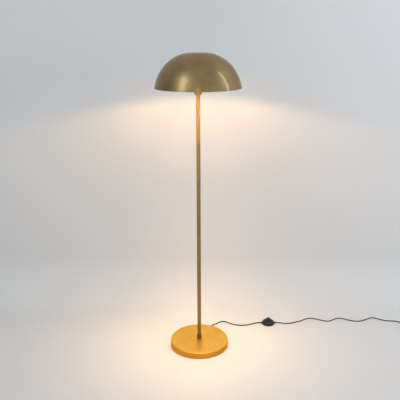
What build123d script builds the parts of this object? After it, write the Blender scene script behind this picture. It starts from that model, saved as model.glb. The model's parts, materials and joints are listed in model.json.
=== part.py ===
from build123d import *
import math
import os

# Floor lamp with a spun dome shade on a thin three-piece pole and a round weighted foot.
# Its lead leaves the back of the foot, runs through a round foot switch and ends in a
# flat two-pin plug. Millimetres, +z up, the floor is z = 0 and the pole is the z axis;
# seen from the front, +x is to the right and +y points away.

# shade
shade_radius = 200.0
shade_rim_z = 1313.0
shade_wall = 1.0
crown_flat_radius = 26.0
crown_arc_radius = 169.5
crown_arc_end = 50.0  # degrees between the crown and where the side arc takes over
rim_slope = 80.7  # degrees of slope at the rim
rim_bead_radius = 1.6

# foot
base_radius = 147.0
base_height = 32.0
base_wall = 1.4
base_edge_radius = 4.0
pad_radius = 139.0
pad_thickness = 2.0
pad_hole_radius = 24.0
hem_gap = 1.0  # between the cover's hem and the floor, hidden by the pad's shadow
weight_radius = base_radius - base_wall - 2.1
weight_top_z = base_height - base_wall
weight_chamfer = 3.0  # clears the cover's rounded edge
weight_rim_inner = 120.0
web_z = 22.6  # underside of the weight's web
channel_width = 13.0
channel_top_z = 15.0
boss_length = 14.0
washer_radius = 14.0
washer_thickness = 1.5
nut_across_flats = 14.0
nut_thickness = 4.0

# pole
pole_radius = 9.5
pole_wall = 1.2
pole_sections = 3
cup_z = 1280.0  # underside of the cup below the lampholder
foot_height = 30.0
foot_seat = 4.0  # floor of the foot collar, under the pole
insert_length = 18.0
insert_inset = 0.2  # how far each insert sits inside its tube's end
nipple_radius = 5.0
nipple_bore = 4.1
nipple_half_length = 15.0
collar_radius = 12.5  # of the turned collar at the pole's foot
pole_bore = pole_radius - pole_wall
pole_bottom_z = base_height + foot_seat
section_length = (cup_z - pole_bottom_z) / pole_sections

# lampholder, stacked on the cup, from the bottom up
cup_radius = 21.0
cup_wall = 1.0
cup_height = 38.0
cup_bowl_depth = 17.8  # from the bowl's widest level down to its flat bottom
cap_bottom_z = cup_z + 5.0
cap_neck_top_z = cup_z + 11.0
sheath_end_z = cup_z + 13.0  # where the lead's sheath ends, on the cap's floor
cap_shoulder_z = cup_z + 16.0
terminal_bottom_z = cup_z + 20.5
terminal_screw_z = cup_z + 23.0
core_bottom_z = cup_z + 25.0
core_top_z = cup_z + 31.0
cap_top_z = cup_z + 32.0
shell_bottom_z = cup_z + 35.0
skirt_top_z = cup_z + 60.0
holder_cap_radius = 17.5
holder_cap_bore = 15.5
holder_core_radius = 15.4
skirt_radius = 20.0
skirt_flange_radius = 22.5
skirt_threads = 6
shell_radius = 14.0
shell_bore = 13.4
terminal_offset = 8.0  # of each terminal from the pole's axis
terminal_size = 5.0
terminal_post_radius = 1.6
terminal_screw_radius = 1.2
contact_thickness = 0.5
contact_width = 5.0

# the shade's three-armed carrier and the ring that clamps it
spider_z = cup_z + 41.0
spider_thickness = 2.0
spider_hub_radius = 30.0
arm_width = 12.0
arm_count = 3
lug_height = 14.0
shade_ring_radius = 27.0
shade_ring_height = 8.0
shade_ring_notches = 24

# bulb
bulb_tip_z = 1314.0
bulb_globe_radius = 30.0
bulb_globe_wall = 1.2
bulb_length = 108.0
bulb_cap_radius = 13.1
bulb_cap_bore = 11.6
bulb_thread_pitch = 3.6
bulb_threads = 5
insulator_radius = 6.5
bulb_globe_z = bulb_tip_z + bulb_length - bulb_globe_radius
housing_top_z = bulb_globe_z - 16
housing_bottom_z = bulb_tip_z + 27.5
board_radius = 22.6
board_thickness = 1.6
chip_circle = 14.0
chip_count = 10
chip_size = 3.0
chip_height = 0.8

# lead
cord_diameter = 5.5
cord_radius = cord_diameter / 2
core_radius = 1.1
exit_angle = 69.0  # degrees from +x, a little to the right of straight back
exit_z = 8.5
inner_bend_radius = 12.0
gland_tip_distance = 169.0
gland_neck_radius = 4.6
gland_flange_radius = 6.0
gland_ribs = 4
clamp_distance = 80.0
clamp_bottom_z = 4.7
clamp_screw_spacing = 16.0
clamp_screw_radius = 1.7
clamp_screw_length = 14.0
clamp_head_radius = 3.1
clamp_head_height = 1.8

# foot switch
switch_centre = (382.7, 206.0)
switch_radius = 34.0
switch_wall = 2.0
switch_shoulder_z = 8.0
switch_top_z = 22.5
button_radius = 12.2
button_top_z = 33.0
button_stroke = 4.0
switch_cord_z = 7.0
nose_reach = 43.0  # from the switch's centre to the tip of each nose
nose_neck_radius = 3.8
plate_bottom_z = 1.0
plate_top_z = 3.0
collar_bottom_z = 16.0
collar_bore = 12.6
button_bottom_z = 14.0
button_flange_radius = 13.8
spring_bottom_z = 8.0
spring_top_z = button_top_z - 2.0
spring_wire_radius = 0.45
spring_radius = 7.8
spring_turns = 8
post_circle = 25.0
post_count = 3
post_radius = 3.2
post_height = 13.2
switch_screw_radius = 1.5
switch_screw_length = 8.5
switch_head_radius = 2.9
switch_head_depth = 1.2
rotor_shaft_radius = 2.0
contact_offset_x = 12.6  # of the terminal strips from the switch's centre
contact_offset_y = 4.0
strip_z = 6.5
strip_thickness = 1.0
lead_end = 19.5  # how near the switch's centre the sheathed ends reach

# put-away coil and plug
coil_entry = (1160.0, 203.0, cord_radius)
coil_outer_radius = 36.0
coil_pitch = 6.0
coil_half_turns = 4  # on the lower layer, before the climb
plug_width = 35.3
plug_thickness = 13.7
plug_body_length = 36.0
plug_relief_length = 30.0
plug_rear_half_width = 9.5
plug_waist = 3.6  # how far each side is drawn in for the fingers
relief_ribs = 5
pin_radius = 2.0
pin_shank_radius = 1.4
pin_depth = 12.0  # of the shank in the body
pin_length = 19.0
pin_spacing = 19.0
sleeve_length = 10.0

exit_direction = Vector(math.cos(math.radians(exit_angle)), math.sin(math.radians(exit_angle)), 0)


def exit_point(distance, height=exit_z):
    """Point straight out along the lead's way through the foot."""
    return tuple(exit_direction * distance + Vector(0, 0, height))


def clamp_plane(height):
    """Level plane at the lead's clamp, turned to the lead's way out."""
    return Plane(origin=exit_point(clamp_distance, height), x_dir=exit_direction, z_dir=(0, 0, 1))


# The route of the lead, chosen by hand: from the gland to the switch, and on to the coil
route_to_switch = [
    exit_point(gland_tip_distance),
    exit_point(184.5),
    (79.5, 189.0, 4.9),
    (100.0, 207.6, 2.75),
    (121.0, 227.8, 2.75),
    (149.0, 227.0, 2.75),
    (169.5, 204.5, 2.75),
    (199.0, 188.6, 2.75),
    (228.0, 182.6, 2.75),
    (258.0, 184.6, 2.75),
    (285.0, 195.0, 2.75),
    (305.5, 204.2, 3.6),
    (322.0, 206.0, 7.0),
    (switch_centre[0] - nose_reach, switch_centre[1], switch_cord_z),
]
route_to_coil = [
    (switch_centre[0] + nose_reach, switch_centre[1], switch_cord_z),
    (443.0, 206.0, 7.0),
    (466.0, 202.6, 2.75),
    (503.0, 201.4, 2.75),
    (533.0, 214.2, 2.75),
    (569.0, 229.0, 2.75),
    (603.0, 255.6, 2.75),
    (634.0, 262.0, 2.75),
    (664.0, 247.5, 2.75),
    (698.0, 228.0, 2.75),
    (726.0, 223.0, 2.75),
    (752.0, 241.0, 2.75),
    (780.0, 261.0, 2.75),
    (808.0, 256.0, 2.75),
    (848.0, 229.5, 2.75),
    (878.0, 223.0, 2.75),
    (908.0, 224.0, 2.75),
    (946.0, 248.5, 2.75),
    (969.0, 262.0, 2.75),
    (990.0, 261.0, 2.75),
    (1012.0, 245.0, 2.75),
    (1045.0, 225.5, 2.75),
    (1074.0, 224.4, 2.75),
    (1098.0, 221.5, 2.75),
    (1120.0, 208.0, 2.75),
    (1140.0, 203.0, 2.75),
    coil_entry,
]

coil_centre = (coil_entry[0] + cord_diameter, coil_entry[1] - coil_outer_radius)
coil_exit = (coil_centre[0] + cord_diameter, coil_entry[1], cord_radius + coil_pitch)
plug_x = coil_centre[0] + coil_outer_radius + 24.5
plug_z = plug_thickness / 2
relief_start_y = coil_centre[1] - 17.0
plug_front_y = relief_start_y - plug_relief_length - plug_body_length
route_to_plug = [
    coil_exit,
    (1190.0, 203.0, 8.75),
    (1209.0, 197.0, 5.6),
    (1221.0, 183.0, 4.8),
    (plug_x, relief_start_y + 16.0, plug_z),
    (plug_x, relief_start_y, plug_z),
]


def turned(outline, plane=Plane.XZ):
    """A piece turned about the plane's own y axis, from its (radius, height) outline."""
    with BuildPart() as piece:
        with BuildSketch(plane):
            with BuildLine():
                Polyline(*outline, close=True)
            make_face()
        revolve(axis=Axis(plane.origin, plane.y_dir))
    return piece


def ring(outer, inner, bottom, top):
    """A plain ring or tube round the pole's axis."""
    return turned([(inner, bottom), (outer, bottom), (outer, top), (inner, top)])


def lying_plane(origin, direction):
    """A plane for turning a piece about a level line: its y axis runs along the direction."""
    along = Vector(*direction).normalized()
    return Plane(origin=origin, x_dir=(0, 0, 1), z_dir=Vector(0, 0, 1).cross(along))


def corner_radii(points):
    """The largest neat radius at each corner of a route: 0.45 of the shorter run beside it."""
    radii = []
    for before, corner, after in zip(points, points[1:], points[2:]):
        arriving = Vector(*corner) - Vector(*before)
        leaving = Vector(*after) - Vector(*corner)
        turn = math.radians(arriving.get_angle(leaving))
        shorter = min(arriving.length, leaving.length)
        radii.append(0.45 * shorter / math.tan(turn / 2))
    return radii


def routed_tube(points, radii, tube_radius):
    """A round tube along straight runs joined by tangent arcs."""
    with BuildPart() as tube:
        with BuildLine() as route:
            FilletPolyline(*points, radius=radii)
        with BuildSketch(Plane(origin=route.line @ 0, z_dir=route.line % 0)):
            Circle(tube_radius)
        sweep()
    return tube, route.wires()[0].length


def report_tube(name, tube, length, tube_radius):
    """Prints a tube's length and how its volume compares with section times length."""
    expected = math.pi * tube_radius**2 * length
    print(f"{name}: length {length:.1f}, volume over section x length {tube.part.volume / expected:.4f}")


def save(name, piece):
    """Labels a finished piece and writes it."""
    piece.part.label = name
    export_step(piece.part, f"parts/{name}.step")


def make_base_cover():
    """Pressed steel drum, open below, with the pole's hole and the gland's hole."""
    inside = base_radius - base_wall
    with BuildPart() as cover:
        with BuildSketch(Plane.XZ):
            with BuildLine():
                Polyline(
                    (nipple_radius, base_height),
                    (base_radius - base_edge_radius, base_height),
                )
                CenterArc(
                    (base_radius - base_edge_radius, base_height - base_edge_radius),
                    base_edge_radius,
                    0,
                    90,
                )
                Polyline(
                    (base_radius, base_height - base_edge_radius),
                    (base_radius, hem_gap),
                    (inside, hem_gap),
                    (inside, base_height - base_edge_radius),
                )
                CenterArc(
                    (base_radius - base_edge_radius, base_height - base_edge_radius),
                    base_edge_radius - base_wall,
                    0,
                    90,
                )
                Polyline(
                    (base_radius - base_edge_radius, base_height - base_wall),
                    (nipple_radius, base_height - base_wall),
                    (nipple_radius, base_height),
                )
            make_face()
        revolve(axis=Axis.Z)
        with BuildSketch(Plane(origin=exit_point(base_radius + 10), z_dir=exit_direction)):
            Circle(gland_neck_radius)
        extrude(amount=-20, mode=Mode.SUBTRACT)
    return cover


def make_base_weight():
    """Cast-iron disc: a web, a heavy rim with a channel for the lead, and the clamp's boss."""
    boss_bottom_z = exit_z + cord_radius
    with BuildPart() as weight:
        with BuildSketch(Plane.XY.offset(pad_thickness)):
            Circle(weight_radius)
        extrude(amount=weight_top_z - pad_thickness)
        chamfer(weight.edges().group_by(Axis.Z)[-1], weight_chamfer)
        with BuildSketch(Plane.XY.offset(pad_thickness)):
            Circle(weight_rim_inner)
        extrude(amount=web_z - pad_thickness, mode=Mode.SUBTRACT)
        with BuildSketch(Plane(origin=(0, 0, pad_thickness), x_dir=exit_direction, z_dir=(0, 0, 1))):
            Rectangle(weight_radius + 10, channel_width, align=(Align.MIN, Align.CENTER))
        extrude(amount=channel_top_z - pad_thickness, mode=Mode.SUBTRACT)
        with BuildSketch(clamp_plane(boss_bottom_z)):
            Rectangle(boss_length, clamp_screw_spacing + 12)
        extrude(amount=web_z - boss_bottom_z)
        with BuildSketch(clamp_plane(boss_bottom_z)):
            with GridLocations(0, clamp_screw_spacing, 1, 2):
                Circle(clamp_screw_radius)
        extrude(amount=10, mode=Mode.SUBTRACT)
        with BuildSketch(Plane.XY):
            Circle(nipple_radius)
        extrude(amount=base_height, mode=Mode.SUBTRACT)
    return weight


def make_cord_clamp():
    """Plastic bridge that presses the lead against the weight's boss."""
    top = exit_z - 0.2
    with BuildPart() as clamp:
        with BuildSketch(clamp_plane(clamp_bottom_z)):
            Rectangle(10, clamp_screw_spacing + 9)
        extrude(amount=top - clamp_bottom_z)
        fillet(clamp.edges().filter_by(Axis.Z), 2)
        with BuildSketch(clamp_plane(clamp_bottom_z)):
            with GridLocations(0, clamp_screw_spacing, 1, 2):
                Circle(clamp_screw_radius)
        extrude(amount=10, mode=Mode.SUBTRACT)
        with BuildSketch(Plane(origin=exit_point(clamp_distance - 10), z_dir=exit_direction)):
            Circle(cord_radius)
        extrude(amount=20, mode=Mode.SUBTRACT)
    return clamp


def make_clamp_screws():
    """The two pan-head screws of the lead's clamp, driven from below."""
    with BuildPart() as screws:
        with BuildSketch(clamp_plane(clamp_bottom_z)):
            with GridLocations(0, clamp_screw_spacing, 1, 2):
                Circle(clamp_screw_radius)
        extrude(amount=clamp_screw_length)
        with BuildSketch(clamp_plane(clamp_bottom_z)):
            with GridLocations(0, clamp_screw_spacing, 1, 2):
                Circle(clamp_head_radius)
        extrude(amount=-clamp_head_height)
    return screws


def make_cord_gland():
    """Rubber strain relief: a flange inside the wall, a neck in its hole and a ribbed taper."""
    plane = lying_plane(exit_point(0), exit_direction)
    wall_inside = base_radius - base_wall - 0.2
    collar_end = base_radius + 2.6
    rib_step = (gland_tip_distance - 1.5 - collar_end) / gland_ribs
    outline = [
        (cord_radius, wall_inside - 2.4),
        (gland_flange_radius, wall_inside - 2.4),
        (gland_flange_radius, wall_inside),
        (gland_neck_radius, wall_inside),
        (gland_neck_radius, base_radius + 0.1),
        (gland_flange_radius, base_radius + 0.1),
        (gland_flange_radius, collar_end),
    ]
    for rib in range(gland_ribs):
        start = collar_end + rib * rib_step
        radius = 5.3 - 0.42 * rib
        outline += [
            (radius, start),
            (radius - 0.15, start + 0.65 * rib_step),
            (radius - 0.85, start + 0.7 * rib_step),
            (radius - 0.85, start + rib_step),
        ]
    outline += [
        (3.6, gland_tip_distance - 1.5),
        (3.45, gland_tip_distance),
        (cord_radius, gland_tip_distance),
    ]
    return turned(outline, plane)


def make_hex_nut(bottom):
    """A thin locknut on the pole's axis."""
    with BuildPart() as nut:
        with BuildSketch(Plane.XY.offset(bottom)):
            RegularPolygon(nut_across_flats / 2, 6, major_radius=False)
            Circle(nipple_radius, mode=Mode.SUBTRACT)
        extrude(amount=nut_thickness)
    return nut


def make_pole_foot():
    """Turned collar at the pole's foot: a short cylinder that sweeps in to the tube."""
    bottom = base_height
    top = base_height + foot_height
    with BuildPart() as foot:
        with BuildSketch(Plane.XZ):
            with BuildLine():
                Polyline(
                    (pole_radius, top),
                    (pole_radius, pole_bottom_z),
                    (nipple_radius, pole_bottom_z),
                    (nipple_radius, bottom),
                    (collar_radius - 0.5, bottom),
                    (collar_radius, bottom + 0.5),
                    (collar_radius, bottom + 13.5),
                )
                ThreePointArc(
                    (collar_radius, bottom + 13.5),
                    (collar_radius - 1.3, bottom + 18.5),
                    (pole_radius + 0.9, bottom + 25.0),
                )
                Polyline(
                    (pole_radius + 0.9, bottom + 25.0),
                    (pole_radius + 0.7, top),
                    (pole_radius, top),
                )
            make_face()
        revolve(axis=Axis.Z)
    return foot


def make_pole_section(index):
    """One of the pole's equal tubes, counted from the foot."""
    bottom = pole_bottom_z + index * section_length
    return ring(pole_radius, pole_bore, bottom, bottom + section_length)


def make_pole_inserts():
    """The six threaded plugs, one swaged into each end of each tube."""
    with BuildPart() as inserts:
        for index in range(pole_sections):
            bottom = pole_bottom_z + index * section_length
            for start in (bottom + insert_inset, bottom + section_length - insert_inset - insert_length):
                with BuildSketch(Plane.XY.offset(start)):
                    Circle(pole_bore)
                    Circle(nipple_radius, mode=Mode.SUBTRACT)
                extrude(amount=insert_length)
    return inserts


def make_pole_nipples():
    """The hollow threaded studs that join the pole's sections."""
    with BuildPart() as nipples:
        for joint in range(1, pole_sections):
            middle = pole_bottom_z + joint * section_length
            with BuildSketch(Plane.XY.offset(middle - nipple_half_length)):
                Circle(nipple_radius)
                Circle(nipple_bore, mode=Mode.SUBTRACT)
            extrude(amount=2 * nipple_half_length)
    return nipples


def make_holder_cup():
    """Spun cup: a round-bottomed bowl that runs up into a short cylinder."""
    inner_depth = cup_bowl_depth - cup_wall
    bowl_centre_z = cup_z + cup_bowl_depth
    bottom_radius = math.sqrt(cup_radius**2 - cup_bowl_depth**2)
    inner_bottom = math.sqrt((cup_radius - cup_wall) ** 2 - inner_depth**2)
    start = math.degrees(math.atan2(-cup_bowl_depth, bottom_radius))
    inner_start = math.degrees(math.atan2(-inner_depth, inner_bottom))
    with BuildPart() as cup:
        with BuildSketch(Plane.XZ):
            with BuildLine():
                Line((nipple_radius, cup_z), (bottom_radius, cup_z))
                CenterArc((0, bowl_centre_z), cup_radius, start, -start)
                Polyline(
                    (cup_radius, bowl_centre_z),
                    (cup_radius, cup_z + cup_height),
                    (cup_radius - cup_wall, cup_z + cup_height),
                    (cup_radius - cup_wall, bowl_centre_z),
                )
                CenterArc((0, bowl_centre_z), cup_radius - cup_wall, inner_start, -inner_start)
                Polyline(
                    (inner_bottom, cup_z + cup_wall),
                    (nipple_radius, cup_z + cup_wall),
                    (nipple_radius, cup_z),
                )
            make_face()
        revolve(axis=Axis.Z)
    return cup


def make_holder_cap():
    """Moulded cap of the lampholder, screwed on the top nipple."""
    return turned(
        [
            (nipple_radius, cap_bottom_z),
            (9, cap_bottom_z),
            (9, cap_neck_top_z),
            (holder_cap_radius, cap_shoulder_z),
            (holder_cap_radius, cap_top_z),
            (holder_cap_bore, cap_top_z),
            (holder_cap_bore, cap_shoulder_z + 1.5),
            (8.5, sheath_end_z),
            (nipple_radius, sheath_end_z),
        ]
    )


def make_holder_core():
    """Porcelain disc that carries the contacts, with a hole for each wire."""
    with BuildPart() as core:
        with BuildSketch(Plane.XY.offset(core_bottom_z)):
            Circle(holder_core_radius)
            with PolarLocations(terminal_offset, 2):
                Circle(terminal_post_radius, mode=Mode.SUBTRACT)
        extrude(amount=core_top_z - core_bottom_z)
    return core


def make_holder_terminals():
    """Two brass clamp blocks under the core, with their posts up through it."""
    with BuildPart() as terminals:
        with BuildSketch(Plane.XY.offset(terminal_bottom_z)):
            with PolarLocations(terminal_offset, 2):
                Rectangle(terminal_size, terminal_size)
        extrude(amount=core_bottom_z - terminal_bottom_z)
        with BuildSketch(Plane.XY.offset(core_bottom_z)):
            with PolarLocations(terminal_offset, 2):
                Circle(terminal_post_radius)
        extrude(amount=core_top_z - core_bottom_z)
        with BuildSketch(terminal_screw_plane()):
            with Locations((-terminal_offset, 0), (terminal_offset, 0)):
                Circle(terminal_screw_radius)
        extrude(amount=-terminal_size, mode=Mode.SUBTRACT)
    return terminals


def terminal_screw_plane():
    """Plane on the front of the terminals, at the height of their screws."""
    return Plane(origin=(0, -terminal_size / 2, terminal_screw_z), x_dir=(1, 0, 0), z_dir=(0, -1, 0))


def make_terminal_screws():
    """The two screws that pinch the wires in the lampholder's terminals."""
    with BuildPart() as screws:
        with BuildSketch(terminal_screw_plane()):
            with Locations((-terminal_offset, 0), (terminal_offset, 0)):
                Circle(terminal_screw_radius)
        extrude(amount=-4)
        with BuildSketch(terminal_screw_plane()):
            with Locations((-terminal_offset, 0), (terminal_offset, 0)):
                Circle(2.0)
        extrude(amount=1.4)
    return screws


def make_centre_contact():
    """Springy brass tongue under the bulb's tip."""
    with BuildPart() as contact:
        with BuildSketch(Plane.XZ):
            with BuildLine():
                Polyline(
                    (10.5, core_top_z),
                    (10.5, core_top_z + contact_thickness),
                    (6.0, core_top_z + contact_thickness),
                    (2.5, bulb_tip_z - 0.3),
                    (-3.0, bulb_tip_z - 0.3),
                    (-3.0, bulb_tip_z - 0.3 - contact_thickness),
                    (2.3, bulb_tip_z - 0.3 - contact_thickness),
                    (5.8, core_top_z),
                    close=True,
                )
            make_face()
        extrude(amount=contact_width / 2, both=True)
    return contact


def make_side_contact():
    """Brass angle from the other terminal up to the screw shell."""
    with BuildPart() as contact:
        with BuildSketch(Plane.XZ):
            with BuildLine():
                Polyline(
                    (-6, core_top_z),
                    (-6, core_top_z + contact_thickness),
                    (-shell_bore + contact_thickness, core_top_z + contact_thickness),
                    (-shell_bore + contact_thickness, shell_bottom_z),
                    (-shell_bore, shell_bottom_z),
                    (-shell_bore, core_top_z),
                    close=True,
                )
            make_face()
        extrude(amount=contact_width / 2, both=True)
    return contact


def make_holder_skirt():
    """Moulded body with a stop flange and the outside thread that takes the shade ring."""
    thread_start = spider_z + spider_thickness
    thread_pitch = (skirt_top_z - 1 - thread_start) / skirt_threads
    outline = [
        (shell_radius, cap_top_z),
        (holder_cap_radius, cap_top_z),
        (holder_cap_radius, cup_z + cup_height),
        (skirt_flange_radius, cup_z + cup_height),
        (skirt_flange_radius, spider_z),
        (skirt_radius, spider_z),
        (skirt_radius, thread_start),
    ]
    for thread in range(skirt_threads):
        start = thread_start + thread * thread_pitch
        outline += [
            (skirt_radius - 0.7, start + 0.35 * thread_pitch),
            (skirt_radius - 0.7, start + 0.65 * thread_pitch),
            (skirt_radius, start + thread_pitch),
        ]
    outline += [(skirt_radius - 1, skirt_top_z), (shell_radius, skirt_top_z)]
    return turned(outline)


def make_shade_ring():
    """Screw ring that clamps the shade's spider on the lampholder, with a notched rim."""
    bottom = spider_z + spider_thickness
    with BuildPart() as screw_ring:
        with BuildSketch(Plane.XY.offset(bottom)):
            Circle(shade_ring_radius)
            Circle(skirt_radius, mode=Mode.SUBTRACT)
            with PolarLocations(shade_ring_radius + 0.6, shade_ring_notches):
                Circle(1.4, mode=Mode.SUBTRACT)
        extrude(amount=shade_ring_height)
    return screw_ring


def make_holder_wires():
    """The lead's two cores, from the cut sheath to the lampholder's terminals."""
    offset = core_radius + 0.2
    with BuildPart() as wires:
        for side in (-1, 1):
            with BuildLine() as route:
                FilletPolyline(
                    (side * offset, 0, sheath_end_z),
                    (side * offset, 0, sheath_end_z + 2.5),
                    (side * terminal_offset, 0, terminal_bottom_z - 1.9),
                    (side * terminal_offset, 0, terminal_bottom_z),
                    radius=1.6,
                )
            with BuildSketch(Plane(origin=route.line @ 0, z_dir=route.line % 0)):
                Circle(core_radius)
            sweep()
    return wires


def dome_centres():
    """Centres and radii of the two arcs of the shade's outline, in (radius, height)."""
    bend = math.radians(crown_arc_end)
    slope = math.radians(rim_slope)
    crown_reach = crown_flat_radius + crown_arc_radius * math.sin(bend)
    side_radius = (shade_radius - crown_reach) / (math.sin(slope) - math.sin(bend))
    side_rise = side_radius * (math.cos(bend) - math.cos(slope))
    crown_rise = crown_arc_radius * (1 - math.cos(bend))
    top = shade_rim_z + side_rise + crown_rise
    crown_centre = (crown_flat_radius, top - crown_arc_radius)
    shift = crown_arc_radius - side_radius
    side_centre = (
        crown_centre[0] + shift * math.sin(bend),
        crown_centre[1] + shift * math.cos(bend),
    )
    return top, crown_centre, side_centre, side_radius


def draw_dome(inset):
    """Adds the shade's outline, moved inwards by the inset, from the axis to the rim."""
    top, crown_centre, side_centre, side_radius = dome_centres()
    Line((0, top - inset), (crown_flat_radius, top - inset))
    CenterArc(crown_centre, crown_arc_radius - inset, 90, -crown_arc_end)
    CenterArc(side_centre, side_radius - inset, 90 - crown_arc_end, crown_arc_end - rim_slope)


def rim_point(inset, up=0.0):
    """Point at the rim, so far in from the outside and so far up along the wall."""
    slope = math.radians(rim_slope)
    return (
        shade_radius - inset * math.sin(slope) - up * math.cos(slope),
        shade_rim_z - inset * math.cos(slope) + up * math.sin(slope),
    )


def make_shade():
    """Spun dome with a flat crown and a rolled rim."""
    top = dome_centres()[0]
    with BuildPart() as shade:
        with BuildSketch(Plane.XZ):
            with BuildLine():
                draw_dome(0)
                draw_dome(shade_wall)
                Line(rim_point(0), rim_point(shade_wall))
                Line((0, top), (0, top - shade_wall))
            make_face()
            with Locations(rim_point(rim_bead_radius, rim_bead_radius)):
                Circle(rim_bead_radius)
        revolve(axis=Axis.Z)
    return shade


def make_shade_spider():
    """Flat three-armed carrier whose end lugs are welded to the inside of the dome."""
    top = dome_centres()[0]
    lug_inner = shade_radius - 8
    with BuildPart() as hollow:
        with BuildSketch(Plane.XZ):
            with BuildLine():
                draw_dome(shade_wall)
                rim = rim_point(shade_wall)
                Polyline(rim, (0, rim[1]), (0, top - shade_wall))
            make_face()
        revolve(axis=Axis.Z)
    with BuildPart() as spider:
        with BuildSketch(Plane.XY.offset(spider_z)):
            Circle(spider_hub_radius)
            with PolarLocations(0, arm_count, start_angle=90):
                Rectangle(shade_radius, arm_width, align=(Align.MIN, Align.CENTER))
            Circle(skirt_radius, mode=Mode.SUBTRACT)
        extrude(amount=spider_thickness)
        with BuildSketch(Plane.XY.offset(spider_z)):
            with PolarLocations(lug_inner, arm_count, start_angle=90):
                Rectangle(12, arm_width + 4, align=(Align.MIN, Align.CENTER))
        extrude(amount=lug_height)
        add(hollow.part, mode=Mode.INTERSECT)
    return spider


def make_bulb_globe():
    """Opal diffuser, a thin-walled ball cut off where it meets the housing."""
    inner = bulb_globe_radius - bulb_globe_wall
    depth = bulb_globe_z - housing_top_z
    start = -math.degrees(math.asin(depth / bulb_globe_radius))
    inner_start = -math.degrees(math.asin(depth / inner))
    edge = math.sqrt(bulb_globe_radius**2 - depth**2)
    inner_edge = math.sqrt(inner**2 - depth**2)
    with BuildPart() as globe:
        with BuildSketch(Plane.XZ):
            with BuildLine():
                CenterArc((0, bulb_globe_z), bulb_globe_radius, start, 90 - start)
                CenterArc((0, bulb_globe_z), inner, inner_start, 90 - inner_start)
                Line((edge, housing_top_z), (inner_edge, housing_top_z))
                Line((0, bulb_globe_z + bulb_globe_radius), (0, bulb_globe_z + inner))
            make_face()
        revolve(axis=Axis.Z)
    return globe


def make_bulb_housing():
    """White cone between the cap and the diffuser."""
    edge = math.sqrt(bulb_globe_radius**2 - (bulb_globe_z - housing_top_z) ** 2)
    return turned(
        [
            (bulb_cap_radius + 0.5, housing_bottom_z),
            (14.6, housing_bottom_z + 8),
            (edge, housing_top_z - 1),
            (edge, housing_top_z),
            (edge - 2.4, housing_top_z),
            (edge - 2.4, housing_top_z - 1),
            (13.0, housing_bottom_z + 8),
            (bulb_cap_bore, housing_bottom_z),
        ]
    )


def make_led_board():
    """Metal disc with a ring of light-emitting chips, just under the diffuser."""
    with BuildPart() as board:
        with BuildSketch(Plane.XY.offset(housing_top_z - board_thickness)):
            Circle(board_radius)
        extrude(amount=board_thickness)
        with BuildSketch(Plane.XY.offset(housing_top_z)):
            with PolarLocations(chip_circle, chip_count):
                Rectangle(chip_size, chip_size)
        extrude(amount=chip_height)
    return board


def make_bulb_cap():
    """Metal screw cap with its rolled thread, closed below by a cone."""
    start_z = bulb_tip_z + 6
    outline = [
        (insulator_radius, bulb_tip_z + 2.0),
        (12.2, bulb_tip_z + 4.5),
        (bulb_cap_radius - 0.7, start_z),
    ]
    for thread in range(bulb_threads):
        base = start_z + thread * bulb_thread_pitch
        outline += [
            (bulb_cap_radius, base + 0.35 * bulb_thread_pitch),
            (bulb_cap_radius, base + 0.65 * bulb_thread_pitch),
            (bulb_cap_radius - 0.7, base + bulb_thread_pitch),
        ]
    outline += [
        (bulb_cap_radius - 0.2, housing_bottom_z),
        (bulb_cap_bore, housing_bottom_z),
        (bulb_cap_bore, bulb_tip_z + 5.2),
        (insulator_radius, bulb_tip_z + 3.0),
    ]
    return turned(outline)


def make_bulb_insulator():
    """Black glass ring round the bulb's tip contact."""
    return ring(insulator_radius, 3.1, bulb_tip_z + 1.4, bulb_tip_z + 3.0)


def make_bulb_contact():
    """The bulb's tip contact, a button on a short pin."""
    return turned(
        [
            (0, bulb_tip_z),
            (4.2, bulb_tip_z),
            (4.8, bulb_tip_z + 0.5),
            (4.8, bulb_tip_z + 1.2),
            (3.0, bulb_tip_z + 1.2),
            (3.0, bulb_tip_z + 2.8),
            (0, bulb_tip_z + 2.8),
        ]
    )


def switch_plane(height):
    """Level plane on the foot switch's centre."""
    return Plane(origin=(switch_centre[0], switch_centre[1], height))


def across_switch(distance, facing=1):
    """Upright plane across the leads, so far to the right of the switch's centre."""
    return Plane(
        origin=(switch_centre[0] + distance, switch_centre[1], switch_cord_z), z_dir=(facing, 0, 0)
    )


switch_section_plane = Plane(origin=(*switch_centre, 0), x_dir=(1, 0, 0), z_dir=(0, -1, 0))


def switch_turned(outline):
    """A piece turned about the foot switch's own upright axis."""
    return turned(outline, switch_section_plane)


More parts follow.
